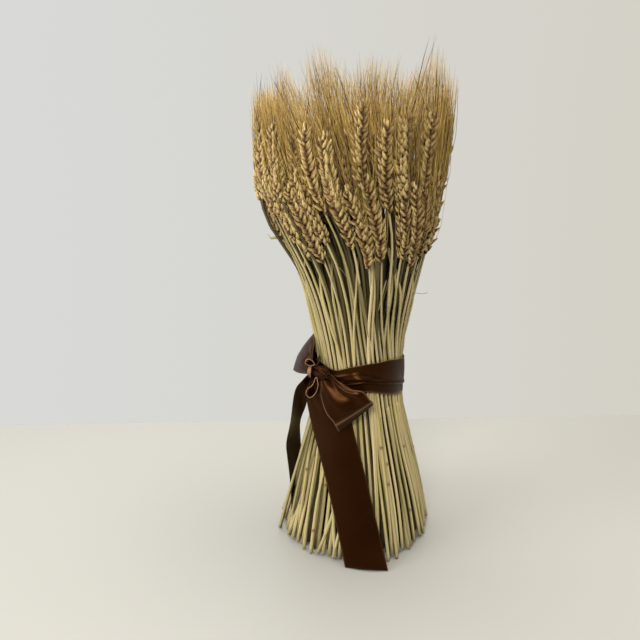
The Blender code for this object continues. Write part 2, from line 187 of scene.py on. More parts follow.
# A track's heights: the lowest plus whole steps.
def gridHeights(count):
    return gridBase + gridStep * np.arange(count)


# The bundle is twisted as it is tied: turned about its axis by an angle that grows with height, and then
# the ears at the front left further, by leftTurn times a bell of how far round they stand.
def twisted(tracks):
    grid = gridHeights(tracks.shape[1])
    tracks = rotated(tracks, twistAt(grid))
    leftward = np.degrees(np.arctan2(-tracks[..., 0], -tracks[..., 1])) - sheaf["leftMiddle"]
    further = -np.radians(tableAt(sheaf["leftTurn"], grid)) * bell(leftward / sheaf["leftWidth"])
    return rotated(tracks, further)


# A smooth curve through rows of values at even steps: Catmull-Rom, open or joined to its own start.
def smoothRows(rows, count, closed=False):
    rows = np.asarray(rows, float)
    if closed:
        padded = np.concatenate([rows[-1:], rows, rows[:2]])
        spot = np.linspace(0.0, len(rows), count + 1)[:-1]
        low = np.minimum(spot.astype(int), len(rows) - 1)
    else:
        padded = np.concatenate([2 * rows[:1] - rows[1:2], rows, 2 * rows[-1:] - rows[-2:-1]])
        spot = np.linspace(0.0, len(rows) - 1, count)
        low = np.minimum(spot.astype(int), len(rows) - 2)
    t = (spot - low)[:, None]
    a, b, c, d = (padded[low + k] for k in range(4))
    return 0.5 * (2 * b + (c - a) * t + (2 * a - 5 * b + 4 * c - d) * t ** 2
                  + (3 * b - a - 3 * c + d) * t ** 3)


# Places at the waist: pairs side by side on the outer ring, then the inner rings.
def waistPlaces():
    angles = np.repeat(2 * np.pi * np.arange(sheaf["pairs"]) / sheaf["pairs"], 2)
    sides = np.tile([-1.0, 1.0], sheaf["pairs"])
    aside = (0.5 * sheaf["pairSpacing"] * sides)[:, None] * turned(angles + np.pi / 2)
    places = [sheaf["ringRadius"] * turned(angles) + aside]
    turns = [angles - sides * np.pi / 2]
    for count, radius in sheaf["innerRings"]:
        ringAngles = 2 * np.pi * (np.arange(count) + 0.5) / count
        places.append(radius * turned(ringAngles))
        turns.append(ringAngles)
    return np.concatenate(places), np.concatenate(turns)


# Walks places from height to height: they widen with the outline, drift, and are pushed apart.
# Straws in "others" stand still and only push.
def walk(places, heights, room, drift, ramp, splay, others=None):
    track = [places]
    for step, (last, height) in enumerate(zip(heights, heights[1:])):
        loosened = min(1.0, abs(height - heights[0]) / ramp)
        depth = 1.0 - np.linalg.norm(places, axis=1) / outlineAt(last)
        widen = (outlineAt(height) / outlineAt(last)) ** (1.0 + splay * depth)
        places = places * widen[:, None] + drift * loosened * abs(height - last)
        need = room(height)
        need = need[:, None] + need[None, :]
        for _ in range(sheaf["pushRounds"]):
            apart = places[:, None, :] - places[None, :, :]
            distance = np.linalg.norm(apart, axis=2) + 1e-9
            push = np.clip(need - distance, 0.0, None) / distance * sheaf["pushShare"]
            np.fill_diagonal(push, 0.0)
            moved = (apart * push[:, :, None]).sum(axis=1)
            if others is not None:
                apart = places[:, None, :] - others[step + 1][None, :, :]
                distance = np.linalg.norm(apart, axis=2) + 1e-9
                push = np.clip(2 * fillers["room"] - distance, 0.0, None) / distance
                moved = moved + (apart * push[:, :, None]).sum(axis=1) * sheaf["pushShare"]
            places = places + moved
            reach = np.linalg.norm(places, axis=1)
            places = places * np.minimum(1.0, outlineAt(height) / reach)[:, None]
        track.append(places)
    return np.array(track)


# The stalks' own draws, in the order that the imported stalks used. The awns' draw is made and not kept,
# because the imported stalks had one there.
def layOutStalks():
    draw = np.random.default_rng(sheaf["seed"])
    start, turns = waistPlaces()
    count = len(start)
    inner = 1.0 - (np.linalg.norm(start, axis=1) / sheaf["ringRadius"]) ** 2
    spread = ears["footSpread"]
    earFoot = ears["footOuter"] + ears["footRise"] * inner + draw.uniform(-spread, spread, count)
    tall = (draw.uniform(0.0, 1.0, count) < ears["tallShare"]) & (np.arange(count) < 2 * sheaf["pairs"])
    earFoot = earFoot + ears["tallRise"] * tall
    earLength = ears["length"] + draw.uniform(-ears["lengthSpread"], ears["lengthSpread"], count)
    earTurns = turns + draw.uniform(-ears["turnSpread"], ears["turnSpread"], count)
    draw.uniform(-1.0, 1.0, (count, sheaf["awnScales"]))
    drift = draw.normal(0.0, sheaf["drift"], (2, count, 2))

    def room(height):
        rise = np.clip((height - earFoot) / sheaf["roomRamp"] + 1.0, 0.0, 1.0)
        return sheaf["stemRoom"] + (sheaf["earRoom"] - sheaf["stemRoom"]) * rise

    step = sheaf["walkStep"]
    up = np.arange(sheaf["waistHigh"], sheaf["outline"][-1][0] + step / 2, step)
    down = np.arange(sheaf["waistLow"], -step, -step)
    above = walk(start, up, room, drift[0], sheaf["driftRampUp"], 0.0)
    stemRoom = np.full(count, sheaf["stemRoom"])
    below = walk(start, down, lambda _: stemRoom, drift[1], sheaf["driftRampDown"], sheaf["footSplay"])
    return dict(earFoot=earFoot, earLength=earLength, earTurns=earTurns,
                up=up, down=down, above=above, below=below, count=count)


# Packed straws keep the same outline and are pushed clear of the stalks.
def layOutFillers(stalks):
    draw = np.random.default_rng(fillers["seed"])
    places = []
    for count, radius, share in fillers["rings"]:
        places.append(radius * turned(2 * np.pi * (np.arange(count) + share) / count))
    start = np.concatenate(places)
    room = np.full(len(start), fillers["room"])
    drift = draw.normal(0.0, fillers["drift"], (2, len(start), 2))
    above = walk(start, stalks["up"], lambda _: room, drift[0], sheaf["driftRampUp"], 0.0, stalks["above"])
    below = walk(start, stalks["down"], lambda _: room, drift[1], sheaf["driftRampDown"], 0.0,
                 stalks["below"])
    top = draw.uniform(fillers["lowestTop"], fillers["highestTop"], len(start))
    return dict(above=above, below=below, up=stalks["up"], down=stalks["down"], top=top)


# Tracks (stalk, height, xy) averaged with their neighbours above and below, 1-2-1, some times over.
def averaged(tracks, rounds):
    tracks = tracks.copy()
    for _ in range(rounds):
        tracks[:, 1:-1] = (tracks[:, :-2] + 2 * tracks[:, 1:-1] + tracks[:, 2:]) / 4
    return tracks


# Tracks read at even heights and rounded off, most round the waist: (stalk, height, xy).
def evenTracks(stalks):
    heights = np.concatenate((stalks["down"][::-1], stalks["up"]))
    track = np.concatenate((stalks["below"][::-1], stalks["above"]))
    grid = np.arange(gridBase, heights[-1], gridStep)
    even = np.empty((track.shape[1], len(grid), 2))
    for stalk in range(track.shape[1]):
        for axis in range(2):
            even[stalk, :, axis] = np.interp(grid, heights, track[:, stalk, axis])
    rounded, even = averaged(even, sheaf["waistRounds"]), averaged(even, sheaf["plainRounds"])
    low, high = sheaf["waistLow"] - sheaf["roundBelow"], sheaf["waistHigh"] + sheaf["roundAbove"]
    soft = np.clip(np.minimum(grid - low, high - grid) / sheaf["roundRamp"], 0.0, 1.0)[None, :, None]
    return even + (rounded - even) * soft


# A straight blend between the two samples around each height, swayed; heights is (stalk, ...).
def placeAt(tracks, heights):
    spot = np.clip((heights - gridBase) / gridStep, 0.0, tracks.shape[1] - 1.001)  # just short of the last
    low = spot.astype(int)
    share = (spot - low)[..., None]
    rows = np.arange(len(tracks)).reshape(-1, *[1] * (heights.ndim - 1))
    flat = tracks[rows, low] * (1 - share) + tracks[rows, low + 1] * share
    return leaned(np.concatenate([flat, heights[..., None]], axis=-1))


# A foot stands higher the further out its stalk leans: how far it is past liftFrom, times the slope.
def liftAt(reach):
    return np.maximum(0.0, reach - sheaf["liftFrom"]) * sheaf["liftSlope"]


# The lift of each track's own foot, by how far it is from the axis at the table.
def footLift(tracks):
    return liftAt(np.linalg.norm(placeAt(tracks, np.zeros(len(tracks)))[:, :2], axis=1))


# A side square to the path and as near to aim as it gets, and the third direction.
def sidesOf(tangent, aim):
    side = unit(aim - (aim * tangent).sum(-1, keepdims=True) * tangent)
    return side, np.cross(tangent, side)


# Rings around path points: the point plus a turn's cosine and sine times the two half widths.
def ringsAround(path, side, other, halfSide, halfOther, sides):
    turn = 2 * np.pi * np.arange(sides) / sides
    across = (np.cos(turn) * halfSide[..., None])[..., None] * side[..., None, :]
    deep = (np.sin(turn) * halfOther[..., None])[..., None] * other[..., None, :]
    return path[..., None, :] + across + deep


# Where a tube's points lie in its pattern: the turn's cosine and sine, widened by across, and the place
# along it plus the tube's own shift. along is (tube or 1, ring).
def grainOf(along, sides, shift, across=(1.0, 1.0)):
    turn = 2 * np.pi * np.arange(sides) / sides
    lengthwise = along + shift[:, None]
    grain = np.empty((*lengthwise.shape, sides, 3))
    grain[..., 0], grain[..., 1] = across[0] * np.cos(turn), across[1] * np.sin(turn)
    grain[..., 2] = lengthwise[..., None]
    return grain


# Faces of many closed tubes with the same number of rings and sides, each with a pole at both ends.
def tubeFaces(count, rings, sides):
    size = rings * sides + 2
    ring, step = np.meshgrid(np.arange(rings - 1), np.arange(sides), indexing="ij")
    after = (step + 1) % sides
    low, high = 1 + ring * sides, 1 + (ring + 1) * sides
    quads = np.stack([low + step, low + after, high + after, high + step], axis=-1).reshape(-1, 4)
    step = np.arange(sides)
    after = (step + 1) % sides
    last = 1 + (rings - 1) * sides
    foot = np.stack([np.zeros(sides, int), 1 + after, 1 + step], axis=-1)
    cap = np.stack([np.full(sides, size - 1), last + step, last + after], axis=-1)
    tris = np.concatenate([foot, cap])
    shift = (np.arange(count) * size)[:, None, None]
    return (quads + shift).reshape(-1, 4), (tris + shift).reshape(-1, 3)


# Ring vertices' values with the first and the last ones again for the two poles: (tube, vertex, ...).
def withPoles(values):
    return np.concatenate([values[:, :1], values, values[:, -1:]], axis=1)


# One batch of closed tubes. tone is per tube or per ring vertex; mark and grain are per ring vertex.
def tubeBatch(rings, firstPole, lastPole, tone, mark, grain):
    count, levels, sides = rings.shape[:3]
    body = rings.reshape(count, levels * sides, 3)
    points = np.concatenate([firstPole[:, None], body, lastPole[:, None]], axis=1)
    mark = withPoles(np.broadcast_to(mark, (count, levels, sides)).reshape(count, -1))
    grain = withPoles(grain.reshape(count, -1, 3))
    quads, tris = tubeFaces(count, levels, sides)
    if tone.ndim > 1:
        tone = withPoles(tone.reshape(count, -1))
    else:
        tone = np.broadcast_to(tone[:, None], points.shape[:2])
    return dict(points=points.reshape(-1, 3), quads=quads, tris=tris, tone=tone.ravel(),
                mark=mark.ravel(), grain=grain.reshape(-1, 3))


# A piece of the sheaf: it rides on the one body and stands for its nodes.
def addPiece(name, mesh, slot, *nodes):
    made = bpy.data.objects.new(name, mesh)
    bpy.context.scene.collection.objects.link(made)
    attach(made, "root")
    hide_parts(*nodes)
    return made


# Puts batches into one mesh, with their tone, mark and grain as attributes.
def makePiece(name, batches, material, *nodes):
    shift, quads, tris = 0, [], []
    for batch in batches:
        quads.append(batch["quads"] + shift)
        tris.append(batch["tris"] + shift)
        shift += len(batch["points"])
    quads, tris = np.concatenate(quads), np.concatenate(tris)
    mesh = bpy.data.meshes.new(name)
    mesh.vertices.add(shift)
    mesh.vertices.foreach_set("co", np.concatenate([b["points"] for b in batches]).ravel())
    corners = np.concatenate([quads.ravel(), tris.ravel()])
    starts = np.concatenate([np.arange(len(quads)) * 4, len(quads) * 4 + np.arange(len(tris)) * 3])
    mesh.loops.add(len(corners))
    mesh.loops.foreach_set("vertex_index", corners)
    mesh.polygons.add(len(starts))
    mesh.polygons.foreach_set("loop_start", starts)
    mesh.update(calc_edges=True)
    mesh.shade_smooth()
    for attribute, kind, field in (("tone", "FLOAT", "value"), ("mark", "FLOAT", "value"),
                                   ("grain", "FLOAT_VECTOR", "vector")):
        made = mesh.attributes.new(attribute, kind, "POINT")
        values = np.concatenate([b[attribute] for b in batches])
        made.data.foreach_set(field, values.astype(np.float32).ravel())
    mesh.materials.append(material)
    addPiece(name, mesh, "straw", *nodes)


# Straws that lie loose over the outer ones: each keeps just outside the outline, wanders a little round
# it as it rises, dips under the ribbon and sinks in between the stems below the ears.
loose = dict(
    count=28, seed=63, jitter=0.4, wander=80.0, bend=150.0, out=0.0019, bandLow=0.150, bandHigh=0.214,
    bandRamp=0.02, bandDip=-0.0012, top=0.322, topSpread=0.010, sink=0.020, sinkRamp=0.05, sinkMost=1.5,
)

# Straws that stray from the bundle at the front, as points in millimetres from under the ribbon to the table,
# and between which heights, in metres, they are made.
strays = (
    ((-40, -36, 160), (-50.6, -40, 123), (-66.5, -40, 64.7), (-82.1, -26, 1.3)),
    ((-37, -30, 160), (-44.5, -33, 132), (-50.5, -39, 104), (-60.8, -43.5, 56.4), (-70.5, -33, 1.3)),
    ((-33, -26, 160), (-40, -29, 134), (-46.5, -38, 106), (-52.1, -48, 62), (-60.4, -44.5, 1.3)),
    ((-29, -32, 160), (-35, -37, 126), (-38.5, -44.5, 98), (-45.5, -57.5, 52), (-51.5, -65, 1.5)),
    ((-24, -36, 160), (-27.5, -42, 122), (-30.5, -48.5, 90), (-37.5, -62.5, 54), (-43.5, -72, 1.5)),
    ((22, -44, 160), (26, -53.5, 105), (33.5, -68, 50), (40, -81, 1.5)),
    ((27, -41, 160), (34, -50, 105), (42.5, -63.5, 50), (49, -75.5, 1.5)),
    ((36, -36, 160), (46, -41, 105), (55.5, -49.5, 52), (62.5, -58, 1.5)),
    ((46, -24, 160), (56.5, -26, 105), (67.5, -30, 52), (77, -33, 1.5)),
    ((51, -4, 160), (62.5, 0, 105), (74.5, 2, 52), (85, 4, 1.5)),
)
strayEnds, straySteps = (0.0012, 0.158), 60

# Thin dry bits, in millimetres but for their thickness: leaf and sheath that cling to a few straws, awns that
# have slipped down between them, and dark thin stalks that lean across the awns.
dryBits = dict(
    leaves=dict(thick=0.0003, darker=0.0, halfWidth=(1.9, 1.3, 1.3, 1.1, 1.9, 1.7, 1.5), lines=(
        ((2, -66.5, 306), (5.5, -63, 290), (9, -57.5, 270), (12.5, -53.5, 252), (14.5, -51.5, 240)),
        ((-90, -14, 337), (-86.5, -18, 333.5), (-81, -21, 334.5), (-75, -23, 332), (-70, -24, 336)),
        ((86, 10, 331), (82, 12, 326), (76, 12, 322), (70, 10, 318)),
        ((30, -60.5, 300), (27, -56.5, 286), (23.5, -52.5, 268)),
        ((48, 46, 312), (44, 43, 294), (40, 39.5, 272), (37, 37, 256)),
        ((-26, 60, 306), (-25, 55.5, 286), (-23.5, 51, 266)),
        ((-62, 30, 316), (-57.5, 27, 298), (-52, 23, 278)),
    )),
    slippedAwns=dict(thick=0.00028, darker=0.0, halfWidth=0.28, lines=(
        ((58, -14, 276), (64, -15, 277.2), (69, -15.5, 276.6), (75, -16, 277.8)),
        ((-30, -56, 330), (-22, -60, 318), (-12, -62, 309), (-4, -63, 296)),
        ((40, -50, 316), (34, -53, 304), (30, -54, 288), (27, -53.5, 276)),
        ((-66, 20, 312), (-60, 28, 300), (-54, 32, 284)),
        ((20, 66, 318), (12, 63, 302), (8, 59, 286)),
    )),
    darkStalks=dict(thick=0.00045, darker=-0.55, halfWidth=0.45, lines=(
        ((-76, -50, 481), (-68.5, -52, 466), (-59, -52, 446)),
        ((-20.5, -50, 493), (-14, -53, 476), (-5, -54, 450)),
        ((30, 62, 478), (22, 66, 462), (16, 68, 440)),
    )),
)

# Dark sheets that stand inside the bundle below the ears as painted shade in its gaps, in millimetres: the
# line of one as (height, distance from the axis), copied round at even turns.
shadeSheets = dict(
    count=13, line=((228, 24), (265, 31), (310, 41), (350, 48), (388, 54)), halfWidth=10.5, thick=0.0004,
    darker=-0.62,
)

# Every thin bit's form: its rings, how its width starts, ends and fills out, and its tint.
leafForm = dict(
    levels=14, sides=6, ends=0.03, fullness=0.55, pole=0.0004, grainAcross=(2.5, 1.0), grainStep=0.5,
    grainShift=50, tone=(-0.16, 0.10), brown=0.22,
)


# The lines of the dark sheets of painted shade: the distance times the sine and minus cosine of each one's
# turn, at its height.
def shadeSheetLines():
    turns = 2 * np.pi * (np.arange(shadeSheets["count"]) + 0.5) / shadeSheets["count"]
    return [[(out * math.sin(turn), -out * math.cos(turn), height) for height, out in shadeSheets["line"]]
            for turn in turns]


# A leaf: a thin blade along a smooth line, its flat side to the straws. Its width goes as the sine of its
# length's share, raised to fullness, so it is pointed at both ends.
def leafBatch(lines, halfWidth, thick, darker, draw):
    count, levels, sides = len(lines), leafForm["levels"], leafForm["sides"]
    path = np.stack([smoothRows(points, levels) for points in lines]) / 1000.0
    half = np.broadcast_to(halfWidth, count)[:, None] / 1000.0
    tangent = unit(np.gradient(path, axis=1))
    outward = unit(np.concatenate([path[..., :2], np.zeros((count, levels, 1))], axis=-1))
    side, other = sidesOf(tangent, np.cross(tangent, outward))
    share = np.linspace(0.0, 1.0, levels)[None]
    within = share * (1 - 2 * leafForm["ends"]) + leafForm["ends"]
    width = half * np.sin(np.pi * within) ** leafForm["fullness"]
    rings = ringsAround(path, side, other, width, np.full_like(width, thick), sides)
    shift = draw.uniform(0, leafForm["grainShift"], count)
    grain = grainOf(share * leafForm["grainStep"], sides, shift, leafForm["grainAcross"])
    tone = draw.uniform(*leafForm["tone"], count) + darker
    pole = leafForm["pole"]
    return tubeBatch(rings, path[:, 0] - pole * tangent[:, 0], path[:, -1] + pole * tangent[:, -1], tone,
                     leafForm["brown"], grain)


# Loose straws' tracks: the outline's radius plus out or the band's dip, less the sink below the top, at a
# turn that starts evenly, wanders and bends with height, and follows the twist.
def looseTracks():
    draw = np.random.default_rng(loose["seed"])
    count = loose["count"]
    grid = gridHeights(gridCount)
    start = 2 * np.pi * (np.arange(count) + draw.uniform(-loose["jitter"], loose["jitter"], count)) / count
    wander = np.radians(draw.normal(0.0, loose["wander"], count))
    bend = np.radians(draw.normal(0.0, loose["bend"], count))
    rise = (grid - sheaf["waistHigh"])[None]
    turn = start[:, None] + wander[:, None] * rise + bend[:, None] * rise ** 2 + twistAt(grid)[None]
    top = loose["top"] + draw.uniform(-1.0, 1.0, count) * loose["topSpread"]
    inBand = np.minimum(grid - loose["bandLow"], loose["bandHigh"] - grid) / loose["bandRamp"]
    inBand = np.clip(inBand, 0, 1)
    out = loose["out"] + (loose["bandDip"] - loose["out"]) * inBand
    ramp = loose["sinkRamp"]
    sunk = loose["sink"] * np.clip((grid[None] - top[:, None] + ramp) / ramp, 0, loose["sinkMost"]) ** 2
    radius = (outlineAt(grid) + out)[None] - sunk
    return radius[..., None] * outwardAt(turn)[..., :2], top


# Stray straws' tracks: their smooth lines read at even heights, less the sway that placeAt adds.
def strayTracks():
    grid = gridHeights(gridCount)
    tracks = np.empty((len(strays), gridCount, 2))
    for row, points in enumerate(strays):
        x, y, z = smoothRows(points[::-1], straySteps).T / 1000.0
        tracks[row, :, 0] = np.interp(grid, z, x) - softTable(sheaf["lean"], grid)
        tracks[row, :, 1] = np.interp(grid, z, y)
    return tracks


# Straws: a round profile carried up the track, thinner towards the ear and swollen at its joint, with
# a hollow end: a wall turned inwards at the foot and closed a little way up.
def strawBatch(tracks, foot, top, topRadius, draw, dark=0.0):
    count, foot, top = len(tracks), foot[:, None], top[:, None]
    joint = draw.uniform(stems["jointLow"], stems["jointHigh"], (count, 1))
    even = np.linspace(0.0, 1.0, stems["rings"])[None] * (top - foot) + foot
    near = joint + stems["jointHalf"] * np.array(stems["jointRings"])
    heights = np.sort(np.concatenate([even, near], axis=1), axis=1)
    path = placeAt(tracks, heights)
    tangent = unit(np.gradient(path, axis=1))
    side, other = sidesOf(tangent, np.array([1.0, 0.0, 0.0]))
    girth = draw.uniform(*stems["girth"], (count, 1))
    jointed = draw.uniform(0.0, 1.0, (count, 1)) < stems["jointShare"]
    share = np.clip((heights - foot) / (top - foot), 0.0, 1.0)
    waist, neck = stems["waistRadius"], topRadius * stems["belowTop"]
    sizes = (stems["footRadius"], waist, waist * stems["aboveWaist"], neck, topRadius)
    swell = bell((heights - joint) / stems["jointHalf"]) * jointed
    radius = np.interp(share, stems["knots"], sizes) * girth * (1.0 + (stems["jointSwell"] - 1.0) * swell)
    inside, cut = radius[:, :1] * stems["hollowShare"], path[:, :1]
    path = np.concatenate([cut + stems["hollowDepth"] * tangent[:, :1], cut, path], axis=1)
    radius = np.concatenate([inside, inside, radius], axis=1)
    side, other = (np.concatenate([way[:, :1]] * 2 + [way], axis=1) for way in (side, other))
    rings = ringsAround(path, side, other, radius, radius, stems["sides"])
    tip = path[:, -1] + tangent[:, -1] * topRadius
    mark = np.concatenate([np.tile(stems["cutMarks"], (count, 1)), swell], axis=1)
    shift = draw.uniform(0, stems["grainShift"], count)
    grain = grainOf(path[..., 2] * stems["grainRise"], stems["sides"], shift)
    # Painted shade for packed straws: dark lowers the whole tone range, which darkens their colour.
    tone = draw.uniform(0, 1, count) * (1.0 - dark) - dark
    # Painted shade: each ring vertex's tone is lowered where it faces into the bundle, so those sides are
    # darker in colour.
    outward = unit(path[..., :2])[:, :, None]
    facing = (unit(rings - path[:, :, None])[..., :2] * outward).sum(axis=-1)
    shade = np.clip((stems["paintedShadeFrom"] - facing) / stems["paintedShadeSpan"], 0.0, 1.0)
    tone = tone[:, None, None] - stems["paintedSideShade"] * shade
    return tubeBatch(rings, path[:, 0], tip, tone, mark[..., None], grain)


# Ears: spikelets alternate on two sides of the stalk's line; each is a fan of pointed husks. A husk is
# a flattened tube, widest below its middle, that leaves the stalk at a lean and curls back a little: base
# plus along times reach, and outwards by bend times the sine of along. Returns the husks' tips as well.
def earBatches(tracks, foot, length, turns, spikelets, names, draw):
    count, total, shape = len(tracks), len(tracks) * spikelets, (len(tracks), spikelets, 1)
    share = (np.arange(spikelets) + ears["firstStep"]) / (spikelets + ears["spareSteps"])
    heights = foot[:, None] + length[:, None] * share * ears["spikeletShare"]
    axis, step = placeAt(tracks, heights), ears["slopeStep"]
    tangent = unit(placeAt(tracks, heights + step) - placeAt(tracks, heights - step))
    aim = np.concatenate([turned(turns), np.zeros((count, 1))], axis=1)[:, None, :]
    broad, thin = sidesOf(tangent, np.broadcast_to(aim, tangent.shape))
    way = np.where(np.arange(spikelets) % 2 == 0, 1.0, -1.0)[None, :, None]
    size = tableAt(ears["sizes"], share)[None, :, None] * draw.uniform(*ears["sizeSpread"], (count, 1, 1))
    leanShare = np.where(share > huskForm["topFrom"], huskForm["topLean"], 1.0)[None, :, None]
    along, swell, sides = np.array(huskForm["along"]), np.array(huskForm["swell"]), huskForm["sides"]
    bend = np.sin(np.pi * along)[None, None, :, None] * huskForm["bend"]
    batches, tips = [], []
    for name in names:
        apart, rise, leanOut, leanAside, reach, halfWide, halfDeep, awned = husks[name]
        lean = np.radians(leanOut + draw.normal(0.0, huskForm["leanSpread"], shape)) * leanShare
        aside = np.radians(leanAside + draw.normal(0.0, huskForm["asideSpread"], shape))
        reach = reach * size * draw.uniform(*huskForm["reach"], shape)
        direction = unit(np.sin(lean) * way * broad + np.sin(aside) * thin + np.cos(lean) * tangent)
        root = huskForm["rootAcross"] * size * way * broad
        base = axis - root + apart * size * thin + rise * size * tangent
        outside = way * broad + huskForm["faceAside"] * np.sin(aside) * thin - huskForm["faceDown"] * tangent
        wide, deep = sidesOf(direction, unit(outside))
        path = base[:, :, None] + (reach * direction)[:, :, None] * along[:, None]
        path = path + (reach * wide)[:, :, None] * bend
        rings = ringsAround(path, wide[:, :, None], deep[:, :, None], swell * halfDeep * size,
                            swell * halfWide * size, sides)
        tip = base + reach * direction
        grain = grainOf(along[None], sides, draw.uniform(0, huskForm["grainShift"], total))
        tone = np.repeat(draw.uniform(0, 1, count), spikelets) * ears["commonTone"]
        tone = tone + draw.uniform(0, 1 - ears["commonTone"], total)
        batches.append(tubeBatch(rings.reshape(total, len(along), sides, 3), base.reshape(total, 3),
                                 tip.reshape(total, 3), tone, along[:, None], grain))
        keep = draw.uniform(0, 1, (count, spikelets)) < awned * tableAt(ears["awned"], share)
        stalk = np.broadcast_to(np.arange(count)[:, None], keep.shape)
        tips.append(dict(root=tip[keep], way=direction[keep], axis=axis[keep], stalk=stalk[keep]))
    joined = {key: np.concatenate([tip[key] for tip in tips]) for key in tips[0]}
    return batches, joined


# Where awns end, from their roots: over their own stalk's line, fanned out and scattered, carried outward
# at the left, under the crown, and eased inside the sheaf's reach. Returns the wisps that rise above it too.
def awnEnds(tracks, tips, draw):
    root = tips["root"]
    count = len(root)
    length = np.maximum(draw.normal(awns["length"], awns["lengthSpread"], count), awns["shortest"])
    end = root[:, 2] + length
    own = tracks[tips["stalk"]]
    fan = (root - tips["axis"])[:, :2] * draw.uniform(*awns["fan"], (count, 1))
    scatter = draw.normal(0.0, awns["scatter"], (count, 2))
    below = awns["slopeReach"]
    slope = (placeAt(own, root[:, 2]) - placeAt(own, root[:, 2] - below))[:, :2] / below
    leftShare = np.interp(root[:, 0], (awns["leftFull"], awns["leftFrom"]), (1.0, 0.0))

    def over(height):
        ahead = root[:, :2] + slope * (height - root[:, 2])[:, None]
        flat = placeAt(own, height)[:, :2] * (1 - awns["straight"]) + ahead * awns["straight"] + fan + scatter
        flat[:, 0] -= awns["leftLean"] * leftShare * (height - root[:, 2])
        return flat

    high = over(end)
    crown = tableAt(awns["crown"], high[:, 0]) - np.abs(draw.normal(0.0, awns["crownSpread"], count))
    wisp = draw.uniform(0, 1, count) < awns["wispShare"]
    crown = crown + wisp * awns["wispRise"] * draw.uniform(*awns["wispRiseSpread"], count)
    crown = np.minimum(crown, awns["highest"]) - awns["domeDrop"] * (high[:, 1] / awns["reach"]) ** 2
    lowest = root[:, 2] + awns["shortest"] * draw.uniform(*awns["shortestSpread"], count)
    end = np.maximum(np.minimum(end, crown), lowest)
    flat = over(end)
    out = np.linalg.norm(flat, axis=1)
    spread = awns["reachSpread"] * np.clip(draw.normal(0.0, 1.0, count), *awns["reachClip"])
    room = awns["reach"] + spread - awns["softReach"]
    eased = awns["softReach"] + room * (1.0 - np.exp(-np.maximum(out - awns["softReach"], 0.0) / room))
    flat = flat * np.where(out > awns["softReach"], eased / out, 1.0)[:, None]
    return np.concatenate([flat, end[:, None]], axis=1), wisp


# Awns: a three-sided needle along a cubic curve. It leaves its husk's tip the way that the husk points
# and comes in to its end from below, bowed a little.
def awnBatch(tracks, tips, draw):
    root, count, levels, sides = tips["root"], len(tips["root"]), awns["stations"], awns["sides"]
    finish, wisp = awnEnds(tracks, tips, draw)
    span = np.linalg.norm(finish - root, axis=1)[:, None]
    bow = draw.normal(0.0, awns["bow"], (count, 3)) * np.array([1.0, 1.0, 0.0])
    first = root + tips["way"] * span * awns["outset"]
    second = finish - unit(finish - root) * span * awns["inset"] + bow
    t = np.linspace(0.0, 1.0, levels + 1)[None, :, None]
    start = (root - tips["way"] * awns["rootDepth"])[:, None]
    curve = ((1 - t) ** 3 * start + 3 * (1 - t) ** 2 * t * first[:, None]
             + 3 * (1 - t) * t ** 2 * second[:, None] + t ** 3 * finish[:, None])
    side, other = sidesOf(unit(np.gradient(curve, axis=1)), np.array([1.0, 0.0, 0.0]))
    taper = np.linspace(1.0, 0.0, levels + 1) ** awns["taper"]
    radius = awns["tipRadius"] + (awns["radius"] - awns["tipRadius"]) * taper
    girth = draw.uniform(*awns["girth"], count) * np.where(wisp, awns["wispGirth"], 1.0)
    radius = radius[None] * girth[:, None]
    rings = ringsAround(curve, side, other, radius, radius, sides)[:, :-1]
    shift = draw.uniform(0, awns["grainShift"], count)
    grain = grainOf(np.arange(levels)[None] * awns["grainStep"], sides, shift, awns["grainAcross"])
    mark = (np.arange(levels) / levels)[:, None]
    tone = draw.uniform(0, 1, count) * np.where(wisp, awns["wispTone"], 1.0)
    return tubeBatch(rings, curve[:, 0], curve[:, -1], tone, mark, grain)


# The next few functions each add one node and give its output. A number, a colour or another node's output
# can be a mix's or a sum's part.
def wire(tree, start, end):
    tree.links.new(start, end)


def newMaterial(name):
    material = bpy.data.materials.new(name)
    material.use_nodes = True
    tree = material.node_tree
    return material, tree, tree.nodes["Principled BSDF"]


def attributeNode(tree, name):
    node = tree.nodes.new("ShaderNodeAttribute")
    node.attribute_name = name
    return node


def rampNode(tree, source, stops):
    ramp = tree.nodes.new("ShaderNodeValToRGB")
    while len(ramp.color_ramp.elements) < len(stops):
        ramp.color_ramp.elements.new(0.5)
    for element, (position, colour) in zip(ramp.color_ramp.elements, stops):
        element.position = position
        element.color = (*colour, 1.0)
    wire(tree, source, ramp.inputs["Fac"])
    return ramp.outputs["Color"]


def mixNode(tree, blend, factor, first, second):
    mix = tree.nodes.new("ShaderNodeMix")
    mix.data_type = "RGBA"
    mix.blend_type = blend
    for socket, value in ((mix.inputs["Factor"], factor), (mix.inputs[6], first), (mix.inputs[7], second)):
        if isinstance(value, bpy.types.NodeSocket):
            wire(tree, value, socket)
        elif isinstance(value, tuple):
            socket.default_value = (*value, 1.0)
        else:
            socket.default_value = value
    return mix.outputs[2]


# A colour multiplied by a ramp.
def tinted(tree, colour, source, stops):
    return mixNode(tree, "MULTIPLY", 1.0, colour, rampNode(tree, source, stops))


def mathNode(tree, operation, first, second, clamp=False, third=0.0):
    node = tree.nodes.new("ShaderNodeMath")
    node.operation = operation
    node.use_clamp = clamp
    for socket, value in zip(node.inputs, (first, second, third)):
        if isinstance(value, bpy.types.NodeSocket):
            wire(tree, value, socket)
        else:
            socket.default_value = value
    return node.outputs["Value"]


# From -1..1 to 0..1: the value times the slope, plus a half.
def toShare(tree, value, slope=0.5):
    return mathNode(tree, "MULTIPLY_ADD", value, slope, third=0.5)


# A vector's X, Y and Z.
def splitNode(tree, source):
    parts = tree.nodes.new("ShaderNodeSeparateXYZ")
    wire(tree, source, parts.inputs["Vector"])
    return parts.outputs


